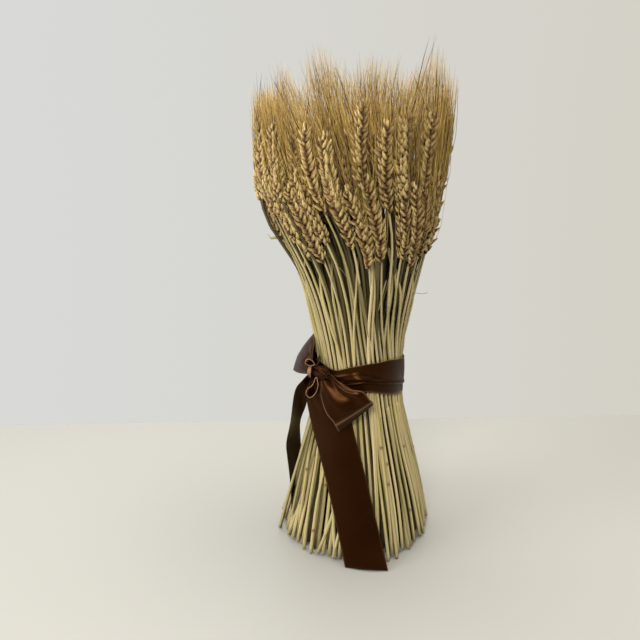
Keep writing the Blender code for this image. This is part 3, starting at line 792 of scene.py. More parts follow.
# Noise read from a vector that is first stretched.
def noiseNode(tree, source, stretch, scale, detail=3.0):
    mapping = tree.nodes.new("ShaderNodeMapping")
    mapping.inputs["Scale"].default_value = stretch
    wire(tree, source, mapping.inputs["Vector"])
    noise = tree.nodes.new("ShaderNodeTexNoise")
    noise.inputs["Scale"].default_value = scale
    noise.inputs["Detail"].default_value = detail
    wire(tree, mapping.outputs["Vector"], noise.inputs["Vector"])
    return noise.outputs["Fac"]


# The same, read along the stalk or husk: from its grain attribute.
def grainNoise(tree, *settings):
    return noiseNode(tree, attributeNode(tree, "grain").outputs["Vector"], *settings)


# The last steps of a material: its colour, the shader's plain settings, and a bump from a height.
def finish(tree, shader, colour, look, height=None):
    wire(tree, colour, shader.inputs["Base Color"])
    for name, value in look["settings"].items():
        shader.inputs[name].default_value = value
    if height is not None:
        bump = tree.nodes.new("ShaderNodeBump")
        bump.inputs["Strength"].default_value, bump.inputs["Distance"].default_value = look["bump"]
        wire(tree, height, bump.inputs["Height"])
        wire(tree, bump.outputs["Normal"], shader.inputs["Normal"])


# In every look below, a table of (place, colour) is a ramp, and a noise is (stretch, scale, detail).
strawLook = dict(
    # Below a share of 0.5 the tones are painted shade: the colours of tones lowered for sides facing into the
    # bundle, for packed straws and for the dark shade sheets, and the dark stalks' own colour.
    tones=((0.0, (0.055, 0.042, 0.016)), (0.40, (0.200, 0.160, 0.070)), (0.50, (0.410, 0.355, 0.185)),
           (0.65, (0.530, 0.450, 0.245)), (0.82, (0.600, 0.495, 0.268)), (1.0, (0.680, 0.570, 0.335))),
    streakNoise=((1.5, 1.5, 0.12), 1.6, 5.0), patchNoise=((0.5, 0.5, 0.9), 1.3),
    streaks=((0.32, (0.46, 0.41, 0.30)), (0.43, (0.78, 0.74, 0.64)), (0.52, (1.0, 1.0, 1.0)),
             (0.70, (1.22, 1.21, 1.18))),
    patches=((0.42, (1.0, 0.985, 0.95)), (0.62, (0.84, 0.86, 0.64))),
    # joint is the joints' own brown; inside is painted shade, the dark colour inside the hollow cut end.
    joint=(0.100, 0.045, 0.016), jointShare=0.85, inside=(0.060, 0.040, 0.018), insideShare=-0.9,
    settings={"Roughness": 0.48, "Specular IOR Level": 0.45}, bump=(0.35, 0.0004),
)


# Straw: a tint for each stalk from green-grey to gold, with painted shade at its dark low end, fine lengthwise
# streaks, brown joints, and painted shade inside its hollow cut end.
def strawMaterial():
    material, tree, shader = newMaterial("straw")
    colour = rampNode(tree, toShare(tree, attributeNode(tree, "tone").outputs["Fac"]), strawLook["tones"])
    streak = grainNoise(tree, *strawLook["streakNoise"])
    colour = tinted(tree, colour, streak, strawLook["streaks"])
    colour = tinted(tree, colour, grainNoise(tree, *strawLook["patchNoise"]), strawLook["patches"])
    mark = attributeNode(tree, "mark").outputs["Fac"]
    # The joint mark gives the joints' brown; the cut marks below zero give the painted shade inside the hollow
    # end.
    for spot in ("joint", "inside"):
        share = mathNode(tree, "MULTIPLY", mark, strawLook[spot + "Share"], clamp=True)
        colour = mixNode(tree, "MIX", share, colour, strawLook[spot])
    finish(tree, shader, colour, strawLook, streak)
    return material


huskLook = dict(
    tones=((0.0, (0.430, 0.312, 0.122)), (0.5, (0.655, 0.505, 0.218)), (1.0, (0.840, 0.700, 0.350))),
    # lengthwise is painted shade towards the root, where the husks overlap, and a little lighter at the tip.
    lengthwise=((0.0, (0.08, 0.045, 0.030)), (0.34, (0.40, 0.31, 0.22)), (0.58, (0.96, 0.94, 0.90)),
                (1.0, (1.12, 1.11, 1.08))),
    # round is painted shade on the side of each husk that faces the stalk.
    round=((0.0, (0.20, 0.13, 0.09)), (0.42, (0.58, 0.48, 0.38)), (0.72, (1.0, 1.0, 1.0))),
    streakNoise=((2.0, 2.0, 1.2), 2.2),
    streaks=((0.32, (0.70, 0.64, 0.55)), (0.55, (1.0, 1.0, 1.0)), (0.75, (1.15, 1.13, 1.08))),
    settings={"Roughness": 0.52, "Specular IOR Level": 0.4}, bump=(0.4, 0.0003),
)


# Husks: gold at the tips and belly, with painted shade that darkens the root and the side towards the stalk,
# streaked along their length.
def huskMaterial():
    material, tree, shader = newMaterial("husk")
    colour = rampNode(tree, attributeNode(tree, "tone").outputs["Fac"], huskLook["tones"])
    # Painted shade by place along the husk and by side: darker at the root and on the side towards the stalk.
    colour = tinted(tree, colour, attributeNode(tree, "mark").outputs["Fac"], huskLook["lengthwise"])
    turn = splitNode(tree, attributeNode(tree, "grain").outputs["Vector"])
    colour = tinted(tree, colour, toShare(tree, turn["X"]), huskLook["round"])
    streak = grainNoise(tree, *huskLook["streakNoise"])
    colour = tinted(tree, colour, streak, huskLook["streaks"])
    finish(tree, shader, colour, huskLook, streak)
    return material


awnLook = dict(
    tones=((0.0, (0.060, 0.026, 0.030)), (0.16, (0.150, 0.080, 0.045)), (0.26, (0.420, 0.285, 0.082)),
           (0.60, (0.670, 0.472, 0.136)), (1.0, (0.930, 0.700, 0.235))),
    streakNoise=((1.0, 1.0, 1.0), 1.6), streaks=((0.3, (0.72, 0.68, 0.62)), (0.7, (1.14, 1.12, 1.06))),
    # lengthwise is painted shade at the root, between the ears, and darker towards the tip.
    lengthwise=((0.0, (0.50, 0.43, 0.37)), (0.30, (1.0, 1.0, 1.0)), (0.55, (0.86, 0.84, 0.80)),
                (1.0, (0.34, 0.30, 0.26))),
    settings={"Roughness": 0.6, "Specular IOR Level": 0.2},
)


# Awns: gold to brown, with some purple-brown ones, darker at the tip, and darkened at the root by painted
# shade between the ears.
def awnMaterial():
    material, tree, shader = newMaterial("awn")
    colour = rampNode(tree, attributeNode(tree, "tone").outputs["Fac"], awnLook["tones"])
    colour = tinted(tree, colour, grainNoise(tree, *awnLook["streakNoise"]), awnLook["streaks"])
    colour = tinted(tree, colour, attributeNode(tree, "mark").outputs["Fac"], awnLook["lengthwise"])
    finish(tree, shader, colour, awnLook)
    return material


# The walked stalks: groups of pairs, so that each piece stands for as many nodes, and the inner stalks in
# two halves. The inner ears have no outer husks.
def dressStalks(stalks, draw, straw, husk, awn):
    tracks = twisted(evenTracks(stalks))
    turns = stalks["earTurns"] + twistAt(stalks["earFoot"])
    awnDraw = np.random.default_rng(awns["seed"])
    lift = footLift(tracks)
    pairs, outer, count = sheaf["groupPairs"], 2 * sheaf["pairs"], stalks["count"]
    groups = []
    for k in range(sheaf["pairs"] // pairs):
        nodes = [f"stalks_{pairs * k + n + 1:02d}" for n in range(pairs)]
        groups.append((f"sheafSide{k + 1}", slice(2 * pairs * k, 2 * pairs * (k + 1)), nodes))
    middle = outer + (count - outer) // 2
    groups.append(("sheafHeart1", slice(outer, middle), ["stalks_inner"]))
    groups.append(("sheafHeart2", slice(middle, count), ["stalks_inner"]))
    for name, members, nodes in groups:
        isOuter = members.start < outer
        own, foot, length = tracks[members], stalks["earFoot"][members], stalks["earLength"][members]
        top = foot + ears["strawShare"] * length
        straws = strawBatch(own, lift[members], top, stems["earRadius"], draw)
        spikelets = ears["outerSpikelets"] if isOuter else ears["innerSpikelets"]
        chosen = [kind for kind in husks if isOuter or kind.startswith("grain")]
        batches, tips = earBatches(own, foot, length, turns[members], spikelets, chosen, draw)
        makePiece(name + "Straws", [straws], straw, *nodes)
        makePiece(name + "Ears", batches, husk, *nodes)
        makePiece(name + "Awns", [awnBatch(own, tips, awnDraw)], awn, *nodes)
    print("stalks done:", count)


# Packed straws, and the second row of ears: they bend out by a smooth step of height, inside earReach.
def dressPacked(stalks, draw, straw, husk, awn):
    packed = layOutFillers(stalks)
    tracks = twisted(evenTracks(packed))
    lift = footLift(tracks)
    earDraw = np.random.default_rng(fillers["earSeed"])
    eared = np.arange(fillers["rings"][0][0])
    eared = eared[eared % fillers["earlessEvery"] != 0]
    count, grid = len(eared), gridHeights(tracks.shape[1])
    rise = np.clip((grid - fillers["outFrom"]) / (fillers["outFull"] - fillers["outFrom"]), 0.0, 1.0)
    out = earDraw.uniform(*fillers["earOut"], (count, 1)) * rise ** 2 * (3 - 2 * rise)
    out = np.maximum(np.minimum(out, fillers["earReach"] - np.linalg.norm(tracks[eared], axis=-1)), 0.0)
    tracks[eared] = tracks[eared] + unit(tracks[eared]) * out[..., None]
    own = tracks[eared]
    foot = fillers["earFoot"] + earDraw.uniform(-1.0, 1.0, count) * fillers["earFootSpread"]
    length = ears["length"] + earDraw.uniform(-1.0, 1.0, count) * ears["lengthSpread"]
    packed["top"][eared] = foot + ears["strawShare"] * length
    fill = strawBatch(tracks, lift, packed["top"], fillers["topRadius"], draw, fillers["dark"])
    makePiece("packedStraws", [fill], straw, "stalks_inner")
    facing = own[:, int(fillers["earFoot"] / gridStep)]
    turns = np.arctan2(facing[:, 1], facing[:, 0]) + np.pi / 2
    turns = turns + earDraw.uniform(-1.0, 1.0, count) * ears["turnSpread"]
    batches, tips = earBatches(own, foot, length, turns, fillers["earSpikelets"], husks, earDraw)
    makePiece("packedEars", batches, husk, "stalks_inner")
    makePiece("packedAwns", [awnBatch(own, tips, earDraw)], awn, "stalks_inner")
    print("packed straws done:", len(tracks))


# What hangs round the bundle: loose and stray straws and the dry bits, and the dark sheets of painted shade
# inside it.
def dressLoose(draw, straw):
    tracks, top = looseTracks()
    foot = np.full(len(top), liftAt(sheaf["outline"][0][1]))
    batch = strawBatch(tracks, foot, top, fillers["topRadius"], draw)
    makePiece("looseStraws", [batch], straw, "stalks_inner")
    tracks = strayTracks()
    foot, top = (np.full(len(tracks), height) for height in strayEnds)
    batch = strawBatch(tracks, foot, top, stems["waistRadius"], draw)
    makePiece("strayStraws", [batch], straw, "stalks_inner")
    bits = [leafBatch(**kind, draw=draw) for kind in dryBits.values()]
    # Painted shade: dark sheets inside the bundle, made like leaves, that darken its gaps.
    inner = shadeSheets
    bits.append(leafBatch(shadeSheetLines(), inner["halfWidth"], inner["thick"], inner["darker"], draw))
    makePiece("dryLeavesAndShadeSheets", bits, straw, "stalks_inner")
    print("loose straws done:", loose["count"] + len(strays))


# The ribbon's strips lie between two sides, in millimetres where they stand. A loop's sides run out on its
# face, round its end and back. Pleats across a strip start at pleatStart and have a second set, secondPleat
# as high. Near the knot they and the slow wave along it grow from nothing, nearKnot and slowNear times as
# fast as the way from it.
ribbon = dict(
    width=0.040, thick=0.00045, rows=96, loopRows=128, columns=27,
    pleatStart=0.8, secondPleat=0.4, secondCount=4.6, pleatFade=0.8, foldFade=1.2, nearKnot=14, slowNear=2,
    slowCount=2.6, slowSlant=1.4,
)

# The band: its edges by turn in degrees, and its rings and columns. The upper layer is a face over foldShare
# of it, tucked under over the rest, with pleats of (height, half waves, start) that fade by the gather's
# degrees, and rolls of (height, place, width). The swirl is a bulging fold right of the knot.
band = dict(
    overRadius=0.0494, underRadius=0.0485, overRings=240, overColumns=34, underRings=180, underColumns=16,
    knotTurn=-52, edgeSteps=721, edgeRound=41, foldShare=0.82, tuckShare=0.18, tuck=0.006, tuckPower=1.2,
    tuckIn=0.0009, gather=34, pleats=((0.0011, 5.5, 0.8), (0.0006, 11, 0.0)), crown=0.0007,
    roll=(0.0011, 0.97, 0.07), swirlTurn=2, swirlSpread=17, swirlPlace=0.70, swirlSlant=0.08,
    swirlHigh=0.0040, swirlAbove=0.24, swirlNarrows=0.62, swirlBelow=0.05, dip=(-0.0010, 0.12, 0.05),
    underLess=0.001, underDown=0.0025, underWave=0.0003, underWaves=3, underFlare=0.0004, flarePower=4,
    topEdge=(
        (-52, 0.206), (-40, 0.2025), (-28, 0.2004), (-10, 0.2065), (10, 0.2101), (40, 0.2115),
        (85, 0.2039), (130, 0.2), (180, 0.1995), (230, 0.201), (270, 0.204), (295, 0.2055), (308, 0.206),
    ),
    foldEdge=(
        (-52, 0.19), (-28, 0.183), (-10, 0.186), (10, 0.1895), (40, 0.185), (85, 0.174), (130, 0.17),
        (180, 0.169), (230, 0.172), (270, 0.18), (295, 0.188), (308, 0.19),
    ),
    bottomEdge=(
        (-52, 0.188), (-28, 0.182), (0, 0.18), (16, 0.1785), (27, 0.1757), (46, 0.1709), (65, 0.1673),
        (85, 0.164), (130, 0.1612), (180, 0.1605), (230, 0.163), (270, 0.17), (290, 0.179), (308, 0.188),
    ),
)

# A strip's rim is the strength of the painted highlight along its edges.
strips = dict(
    ribbonFrontTail=dict(
        held="hung", pleat=0.0016, pleats=1.3, wave=0.0004, cup=0.0034, rimHighlight=0.1, sides=((
        (-42, -39, 190.8), (-48.6, -37, 170.2), (-46.5, -39, 149.7), (-37.9, -45, 115.4),
        (-29.1, -58, 86.4), (-19.6, -71.5, 53.2), (-12, -83, 24), (-6, -93.5, 0.8),
    ), (
        (-33, -43, 192), (-25, -47, 174.2), (-5.4, -50, 159.5), (2.8, -56.1, 130.8), (12.2, -63.5, 98.6),
        (21.8, -71.5, 62.3), (30.6, -81, 29), (38.8, -97, 0.9),
    ))),
    ribbonSideTail=dict(
        held="hung", pleat=0.0012, pleats=1.1, fade=0.4, wave=0.0012, cup=-0.0015, rimHighlight=0.1, sides=((
        (-41, -36, 203), (-47, -38, 195.5), (-53.4, -40, 188.7), (-61.9, -38, 174.1), (-66.4, -36, 136.6),
        (-71, -35, 112.4), (-71.3, -34, 95.8), (-69.8, -33, 66.7), (-68.7, -32, 27.3),
    ), (
        (-34, -36, 200), (-41, -36, 188.6), (-46.6, -31, 172.2), (-51.8, -19, 148.5), (-58.7, -6, 122.8),
        (-59.7, -1, 95.5), (-60.6, 1, 77.6), (-62.4, 4, 45.1), (-66, 6, 9),
    ))),
    ribbonLeftLoop=dict(
        closed=True, pleat=0.0014, pleats=1.6, fade=0.8, belly=0.0050, sides=((
        (-41.9, -40, 206.7), (-42, -33, 217.2), (-41.5, -24, 224.3), (-43.6, -13, 230), (-42.5, -6, 226.9),
        (-37.7, -12, 218.5), (-36, -25, 211.7), (-38.8, -36, 205.3),
    ), (
        (-47, -42, 196.1), (-53.1, -36, 193.7), (-60.1, -26, 190.9), (-65.9, -13, 189), (-62.7, -5, 189.3),
        (-54.9, -14, 191.4), (-48.6, -26, 194.1), (-43.1, -37, 196.5),
    ))),
    # Its folds are (place across, width, height, reach from the knot), and its lines painted highlights across
    # its end, at the crest of the bend and at its lower edge.
    ribbonRightLoop=dict(
        closed=True, pleat=0.0004, pleats=1.7, fade=0.75, belly=0.0020,
        folds=((0.66, 0.14, -0.0036, 0.90), (0.83, 0.055, 0.0030, 0.75), (0.36, 0.14, 0.0022, 0.90)),
        lines=((0.449, 0.010, 0.42), (0.588, 0.009, 0.30)), sides=((
        (-35.3, -42, 191.2), (-34.5, -48, 182.1), (-31.9, -54, 169.4), (-27, -60, 158.7),
        (-20.9, -63.6, 152.6), (-19.6, -64.1, 150.6), (-15.3, -60.5, 141), (-14.2, -58.5, 139.4),
        (-14.8, -53, 141.3), (-21, -49, 155.4), (-30, -44, 175), (-33.7, -38, 187.8),
    ), (
        (-23.4, -46, 197), (-14.2, -54, 191.3), (-3.9, -59, 186.5), (10.1, -62, 184.8), (16.4, -62, 176.9),
        (18.2, -61.8, 174.9), (20.4, -59, 171), (20.9, -57.5, 170.2), (17.7, -53, 172.5),
        (5.4, -51.5, 179.1), (-10.9, -49, 187.9), (-24.8, -43, 194.6),
    ))),
)


# A curl's sides: a closed line, and the same line set deeper into the bow, so that the strip is on edge.
curlDepth = (-0.7, 9.8, -3.7)


def curlSides(*line):
    return np.array(line), np.array(line) + np.array(curlDepth)


# A curl carries the full painted highlight along its edges.
curlForm = dict(closed=True, rimHighlight=1.0, columns=7, thick=0.0006)
knotBits = dict(
    ribbonUpperCurl=dict(**curlForm, sides=curlSides(
        (-42.2, -45, 206.2), (-46.8, -46.5, 206.6), (-50, -47, 209.8), (-47.8, -46.5, 213.4),
        (-43.2, -46, 211.8), (-40.4, -45, 207.8),
    )),
    ribbonLowerCurl=dict(**curlForm, sides=curlSides(
        (-39.2, -47, 193.5), (-42.5, -49.5, 186.1), (-47.6, -50.5, 182), (-48.9, -51, 176.4),
        (-44.6, -51, 172.8), (-39.2, -50.5, 177.8), (-36.6, -49.5, 185.3), (-37.8, -47, 191.8),
    )),
    # The tab's line is a broad painted highlight across its middle.
    ribbonTab=dict(cup=0.0012, rimHighlight=0.6, columns=9, lines=((0.45, 0.30, 0.75),), sides=((
        (-47.6, -34.5, 202.5), (-48.4, -39, 197), (-46.6, -37.5, 189.8),
    ), (
        (-43.6, -44.5, 206.6), (-44, -49.5, 201.2), (-44.4, -48, 194),
    ))),
)

# The knot, in millimetres: its half sizes lie along it, up and out. It narrows to its ends, is fuller to the
# right, and has ridges of (height, count, slant, fade to the ends).
knotForm = dict(
    centre=(-36, -42.5, 198.8), along=(0.84, -0.50, -0.17), half=(11.5, 5.4, 6.4), rings=120, columns=41,
    ends=0.96, endPower=2.6, endRound=0.45, fuller=0.16,
    ridges=((0.17, 5, 1.3, 0.4), (0.06, 11, -2.4, 0.0)),
)


# Faces of a sheet's two skins (the second one's points come after the first's) and of the strips that
# close its edges. closed joins its last row to its first.
def sheetFaces(along, across, closed):
    size = along * across
    spans = along if closed else along - 1
    row, column = np.meshgrid(np.arange(spans), np.arange(across - 1), indexing="ij")
    low, high = row * across + column, (row + 1) % along * across + column
    outer = np.stack([low, high, high + 1, low + 1], axis=-1).reshape(-1, 4)
    row = np.arange(spans)
    start, after = row * across, (row + 1) % along * across
    firstEdge = np.stack([start, start + size, after + size, after], axis=-1)
    start, after = start + across - 1, after + across - 1
    lastEdge = np.stack([start, after, after + size, start + size], axis=-1)
    faces = [outer, (outer + size)[:, ::-1], firstEdge, lastEdge]
    if not closed:
        step = np.arange(across - 1)
        faces.append(np.stack([step, step + 1, step + 1 + size, step + size], axis=-1))
        step = step + (along - 1) * across
        faces.append(np.stack([step + 1, step, step + size, step + 1 + size], axis=-1))
    return np.concatenate(faces)[:, ::-1]


# A cloth sheet from a grid of points (along, across): half the thickness to each side along the grid's
# normals. The rim is a painted highlight along its edges, and lines are painted highlights, bells of (place
# along, width, strength) across it.
def makeSheet(name, grid, material, flat, held, rests, closed=False, rimHighlight=0.35, thick=ribbon["thick"],
              lines=()):
    along, across = grid.shape[:2]
    rows = np.concatenate([grid[-1:], grid, grid[:1]]) if closed else grid
    down = np.gradient(rows, axis=0)
    down = down[1:-1] if closed else down
    normal = unit(np.cross(np.gradient(grid, axis=1), down))
    skins = [(grid + side * thick / 2 * normal).reshape(-1, 3) for side in (1, -1)]
    mesh = bpy.data.meshes.new(name)
    mesh.from_pydata(np.concatenate(skins).tolist(), [], sheetFaces(along, across, closed).tolist())
    mesh.shade_smooth()
    run = np.concatenate([[0.0], np.cumsum(np.linalg.norm(np.diff(grid[:, across // 2], axis=0), axis=1))])
    u = np.tile(np.linspace(0, 1, across), along)
    v = np.repeat(run / ribbon["width"], across)
    corner = np.empty(len(mesh.loops), int)
    mesh.loops.foreach_get("vertex_index", corner)
    layer = mesh.uv_layers.new(name="weave")
    layer.data.foreach_set("uv", np.stack([np.tile(u, 2)[corner], np.tile(v, 2)[corner]], axis=-1).ravel())
    # Painted highlights: the rim along the edge columns, and each line as a bright bell across the rows.
    edge = np.zeros((along, across), np.float32)
    edge[:, [0, -1]] = rimHighlight
    for place, wide, strength in lines:
        bright = strength * bell((np.linspace(0, 1, along) - place) / wide)[:, None]
        edge = np.maximum(edge, bright).astype(np.float32)
    mesh.attributes.new("rimHighlight", "FLOAT", "POINT").data.foreach_set("value", np.tile(edge.ravel(), 2))
    mesh.materials.append(material)
    made = addPiece(name, mesh, "satin", "ribbon")


# Heights of an edge of the band at every turn: the table between its points, averaged by a cosine bell.
def edgeHeight(edge, degrees):
    turns, heights = zip(*band[edge])
    fine = np.linspace(turns[0], turns[-1], band["edgeSteps"])
    values = np.interp(fine, turns, heights)
    kernel = np.hanning(band["edgeRound"])
    kernel, half = kernel / kernel.sum(), band["edgeRound"] // 2
    wide = np.concatenate([values[-half - 1:-1], values, values[1:half + 1]])
    return np.interp(degrees, fine, np.convolve(wide, kernel, mode="valid"))[:, None]


# A layer of the band: radius times the outward direction of each turn, at its height, swayed like the stalks.
def wrapBand(name, degrees, radius, height, layerRadius, satin):
    radius, turn = np.broadcast_arrays(radius, np.radians(degrees)[:, None])
    grid = leaned(radius[..., None] * outwardAt(turn) + height[..., None] * np.array([0, 0, 1.0]))
    makeSheet(name, grid, satin, (ribbon["width"], 2 * np.pi * layerRadius), "stretched", ["stalks_inner"],
              closed=True)


# The band's upper layer: round the waist, its lower edge tucked under. Its radius adds sine pleats that run
# out of the knot and fade, a crown, a rolled lower edge, and the swirl with the dip under it.
def bandOver(satin):
    degrees = np.linspace(band["knotTurn"], band["knotTurn"] + 360, band["overRings"] + 1)[:-1]
    away = np.abs(degrees - band["knotTurn"])
    away = np.minimum(away, np.abs(degrees - band["knotTurn"] - 360))[:, None]
    u = np.linspace(0.0, 1.0, band["overColumns"])[None]
    face = np.clip(u / band["foldShare"], 0, 1)
    back = np.clip((u - band["foldShare"]) / band["tuckShare"], 0, 1)
    top, fold = edgeHeight("topEdge", degrees), edgeHeight("foldEdge", degrees)
    height = top + (fold - top) * face + band["tuck"] * back ** band["tuckPower"]
    pleats = sum(high * np.sin(count * np.pi * face + start) for high, count, start in band["pleats"])
    rollHigh, rollPlace, rollWidth = band["roll"]
    near = (degrees[:, None] - band["swirlTurn"]) / band["swirlSpread"]
    crest = face - band["swirlPlace"] - band["swirlSlant"] * near
    above = band["swirlAbove"] * (1.0 - band["swirlNarrows"] * np.clip(near + 0.5, 0.0, 1.0))
    swirl = band["swirlHigh"] * bell(near) * bell(crest / np.where(crest < 0, above, band["swirlBelow"]))
    dipHigh, dipPlace, dipWidth = band["dip"]
    radius = (band["overRadius"] + bell(away / band["gather"]) * pleats + np.sin(np.pi * face) * band["crown"]
              + rollHigh * bell((face - rollPlace) / rollWidth) + swirl
              + dipHigh * bell(near) * bell((crest - dipPlace) / dipWidth) - band["tuckIn"] * back)
    wrapBand("ribbonBandOver", degrees, radius, height, band["overRadius"], satin)


# The lower layer shows below the fold: it keeps the ribbon's full width behind the upper one, with a slight
# sine wave across it and a flare at its lower edge.
def bandUnder(satin):
    degrees = np.linspace(band["knotTurn"], band["knotTurn"] + 360, band["underRings"] + 1)[:-1]
    u = np.linspace(0.0, 1.0, band["underColumns"])[None]
    bottom = edgeHeight("bottomEdge", degrees)
    top = np.minimum(bottom + ribbon["width"] - band["underLess"],
                     edgeHeight("topEdge", degrees) - band["underDown"])
    radius = (band["underRadius"] + band["underWave"] * np.sin(band["underWaves"] * np.pi * u)
              + band["underFlare"] * u ** band["flarePower"])
    wrapBand("ribbonBandUnder", degrees, radius, top + (bottom - top) * u, band["underRadius"], satin)


# A strip of ribbon between two smooth sides: rows join them, raised by sine pleats across the strip that are
# strongest near the knot, by a slow sine along it, by a belly that bulges its middle, by a cup across it, and
# by a bell for each fold.
def strip(name, satin, sides, held="folded", closed=False, pleat=0.0, pleats=0.0, fade=0.35, wave=0.0,
          belly=0.0, cup=0.0, columns=ribbon["columns"], folds=(), **finishing):
    rows = ribbon["loopRows"] if closed else ribbon["rows"]
    left, right = (smoothRows(side, rows, closed)[:, None] / 1000.0 for side in sides)
    u = np.linspace(0.0, 1.0, columns)[None, :, None]
    grid = left * (1 - u) + right * u
    share = np.linspace(0.0, 1.0, rows + 1 if closed else rows)[:rows, None, None]
    away = 1 - np.abs(2 * share - 1) if closed else share
    down = (np.roll(grid, -1, axis=0) - np.roll(grid, 1, axis=0)) / 2 if closed else np.gradient(grid, axis=0)
    normal = unit(np.cross(down, np.gradient(grid, axis=1)))
    leaving = np.clip(away * ribbon["nearKnot"], 0, 1)
    waves = (np.sin(pleats * 2 * np.pi * u + ribbon["pleatStart"])
             + ribbon["secondPleat"] * np.sin(pleats * ribbon["secondCount"] * np.pi * u))
    crease = pleat * (np.clip(1 - away / fade, 0, 1) ** ribbon["pleatFade"] * leaving) * waves
    slow = wave * np.sin(ribbon["slowCount"] * np.pi * share + ribbon["slowSlant"] * u)
    slow = slow * np.clip(away * ribbon["slowNear"], 0, 1)
    rise = belly * np.sin(np.pi * np.clip(away, 0, 1)) * np.sin(np.pi * u) + cup * np.sin(np.pi * u)
    for place, wide, high, reach in folds:
        fading = np.clip(1 - away / reach, 0, 1) ** ribbon["foldFade"]
        crease = crease + high * bell((u - place) / wide) * fading * leaving
    grid = grid + normal * (crease + slow + rise)
    length = float(np.linalg.norm(np.diff(grid[:, columns // 2], axis=0), axis=1).sum())
    width = float(np.linalg.norm(grid[:, -1] - grid[:, 0], axis=1).mean())
    makeSheet(name, grid, satin, (width, length), held, ["ribbonKnot"], closed=closed, **finishing)


# The knot: an ellipse along its line, with pleats that run along it and turn a little round it, drawn in
# at both ends by the power of the distance from its middle.
def knot(satin):
    along = unit(np.array(knotForm["along"]))
    up = unit(np.array([0.0, 0.0, 1.0]) - along[2] * along)
    out = np.cross(along, up)
    halfAlong, halfUp, halfOut = np.array(knotForm["half"]) / 1000.0
    angle = np.linspace(0, 2 * np.pi, knotForm["rings"] + 1)[:-1][:, None]
    v = np.linspace(-1, 1, knotForm["columns"])[None]
    body = (1 - (knotForm["ends"] * np.abs(v)) ** knotForm["endPower"]) ** knotForm["endRound"]
    body = body * (1 + knotForm["fuller"] * v)
    ridges = 1
    for high, count, slant, fade in knotForm["ridges"]:
        ridges = ridges + high * np.sin(count * angle + slant * v) * (1 - fade * v ** 2)
    grid = (np.array(knotForm["centre"]) / 1000.0 + (v * halfAlong + 0 * angle)[..., None] * along
            + (np.cos(angle) * body * ridges * halfUp)[..., None] * up
            + (np.sin(angle) * body * ridges * halfOut)[..., None] * out)
    around = np.pi * (halfUp + halfOut)
    makeSheet("ribbonKnot", grid, satin, (2 * halfAlong, around), "folded", ["ribbonBandOver"], closed=True)


satinLook = dict(
    warp=((0.3, (0.0100, 0.0024, 0.0003)), (0.7, (0.0150, 0.0038, 0.0005))), rimHighlight=(0.420, 0.225, 0.120),
    warpNoise=((90.0, 6.0, 1.0), 1.0, 2.0), bump=(0.15, 0.0002),
    settings={"Roughness": 0.34, "Specular IOR Level": 0.30, "Specular Tint": (1.0, 0.43, 0.15, 1.0),
              "Anisotropic": 0.6, "Sheen Weight": 0.015, "Sheen Tint": (0.9, 0.6, 0.4, 1.0)},
)


# Satin: brown, with a fine warp that stretches its highlight across, and a painted highlight, a lighter warm
# brown, where the rim attribute is set.
def satinMaterial():
    material, tree, shader = newMaterial("satin")
    uv = tree.nodes.new("ShaderNodeUVMap")
    uv.uv_map = "weave"
    warp = noiseNode(tree, uv.outputs["UV"], *satinLook["warpNoise"])
    rimHighlight = attributeNode(tree, "rimHighlight").outputs["Fac"]
    colour = mixNode(tree, "MIX", rimHighlight, rampNode(tree, warp, satinLook["warp"]), satinLook["rimHighlight"])
    tangent = tree.nodes.new("ShaderNodeTangent")
    tangent.direction_type = "UV_MAP"
    tangent.uv_map = "weave"
    wire(tree, tangent.outputs["Tangent"], shader.inputs["Tangent"])
    finish(tree, shader, colour, satinLook, warp)
    return material


# The ribbon from the inside out: its band, tails and loops, then the knot and what sticks out of it.
def tieRibbon(satin):
    bandUnder(satin)
    bandOver(satin)
    for name, shape in strips.items():
        strip(name, satin, **shape)
    knot(satin)
    for name, shape in knotBits.items():
        strip(name, satin, **shape)
    print("ribbon done")


# The photo's view: focal length in pixels of a 640 picture, the camera's place, and its two turns.
view = dict(focalPixels=642.0, picturePixels=640.0, sensor=36.0, nearest=0.01, place=(0.0, -0.668, 0.434),
            pitchDown=16.0, turnLeft=3.2)


def addCamera():
    data = bpy.data.cameras.new("camera")
    data.sensor_width = view["sensor"]
    data.lens = view["focalPixels"] / view["picturePixels"] * view["sensor"]
    data.clip_start = view["nearest"]
    camera = bpy.data.objects.new("camera", data)
    camera.location = view["place"]
    camera.rotation_euler = (math.radians(90 - view["pitchDown"]), 0.0, math.radians(view["turnLeft"]))
    bpy.context.scene.collection.objects.link(camera)
    bpy.context.scene.camera = camera


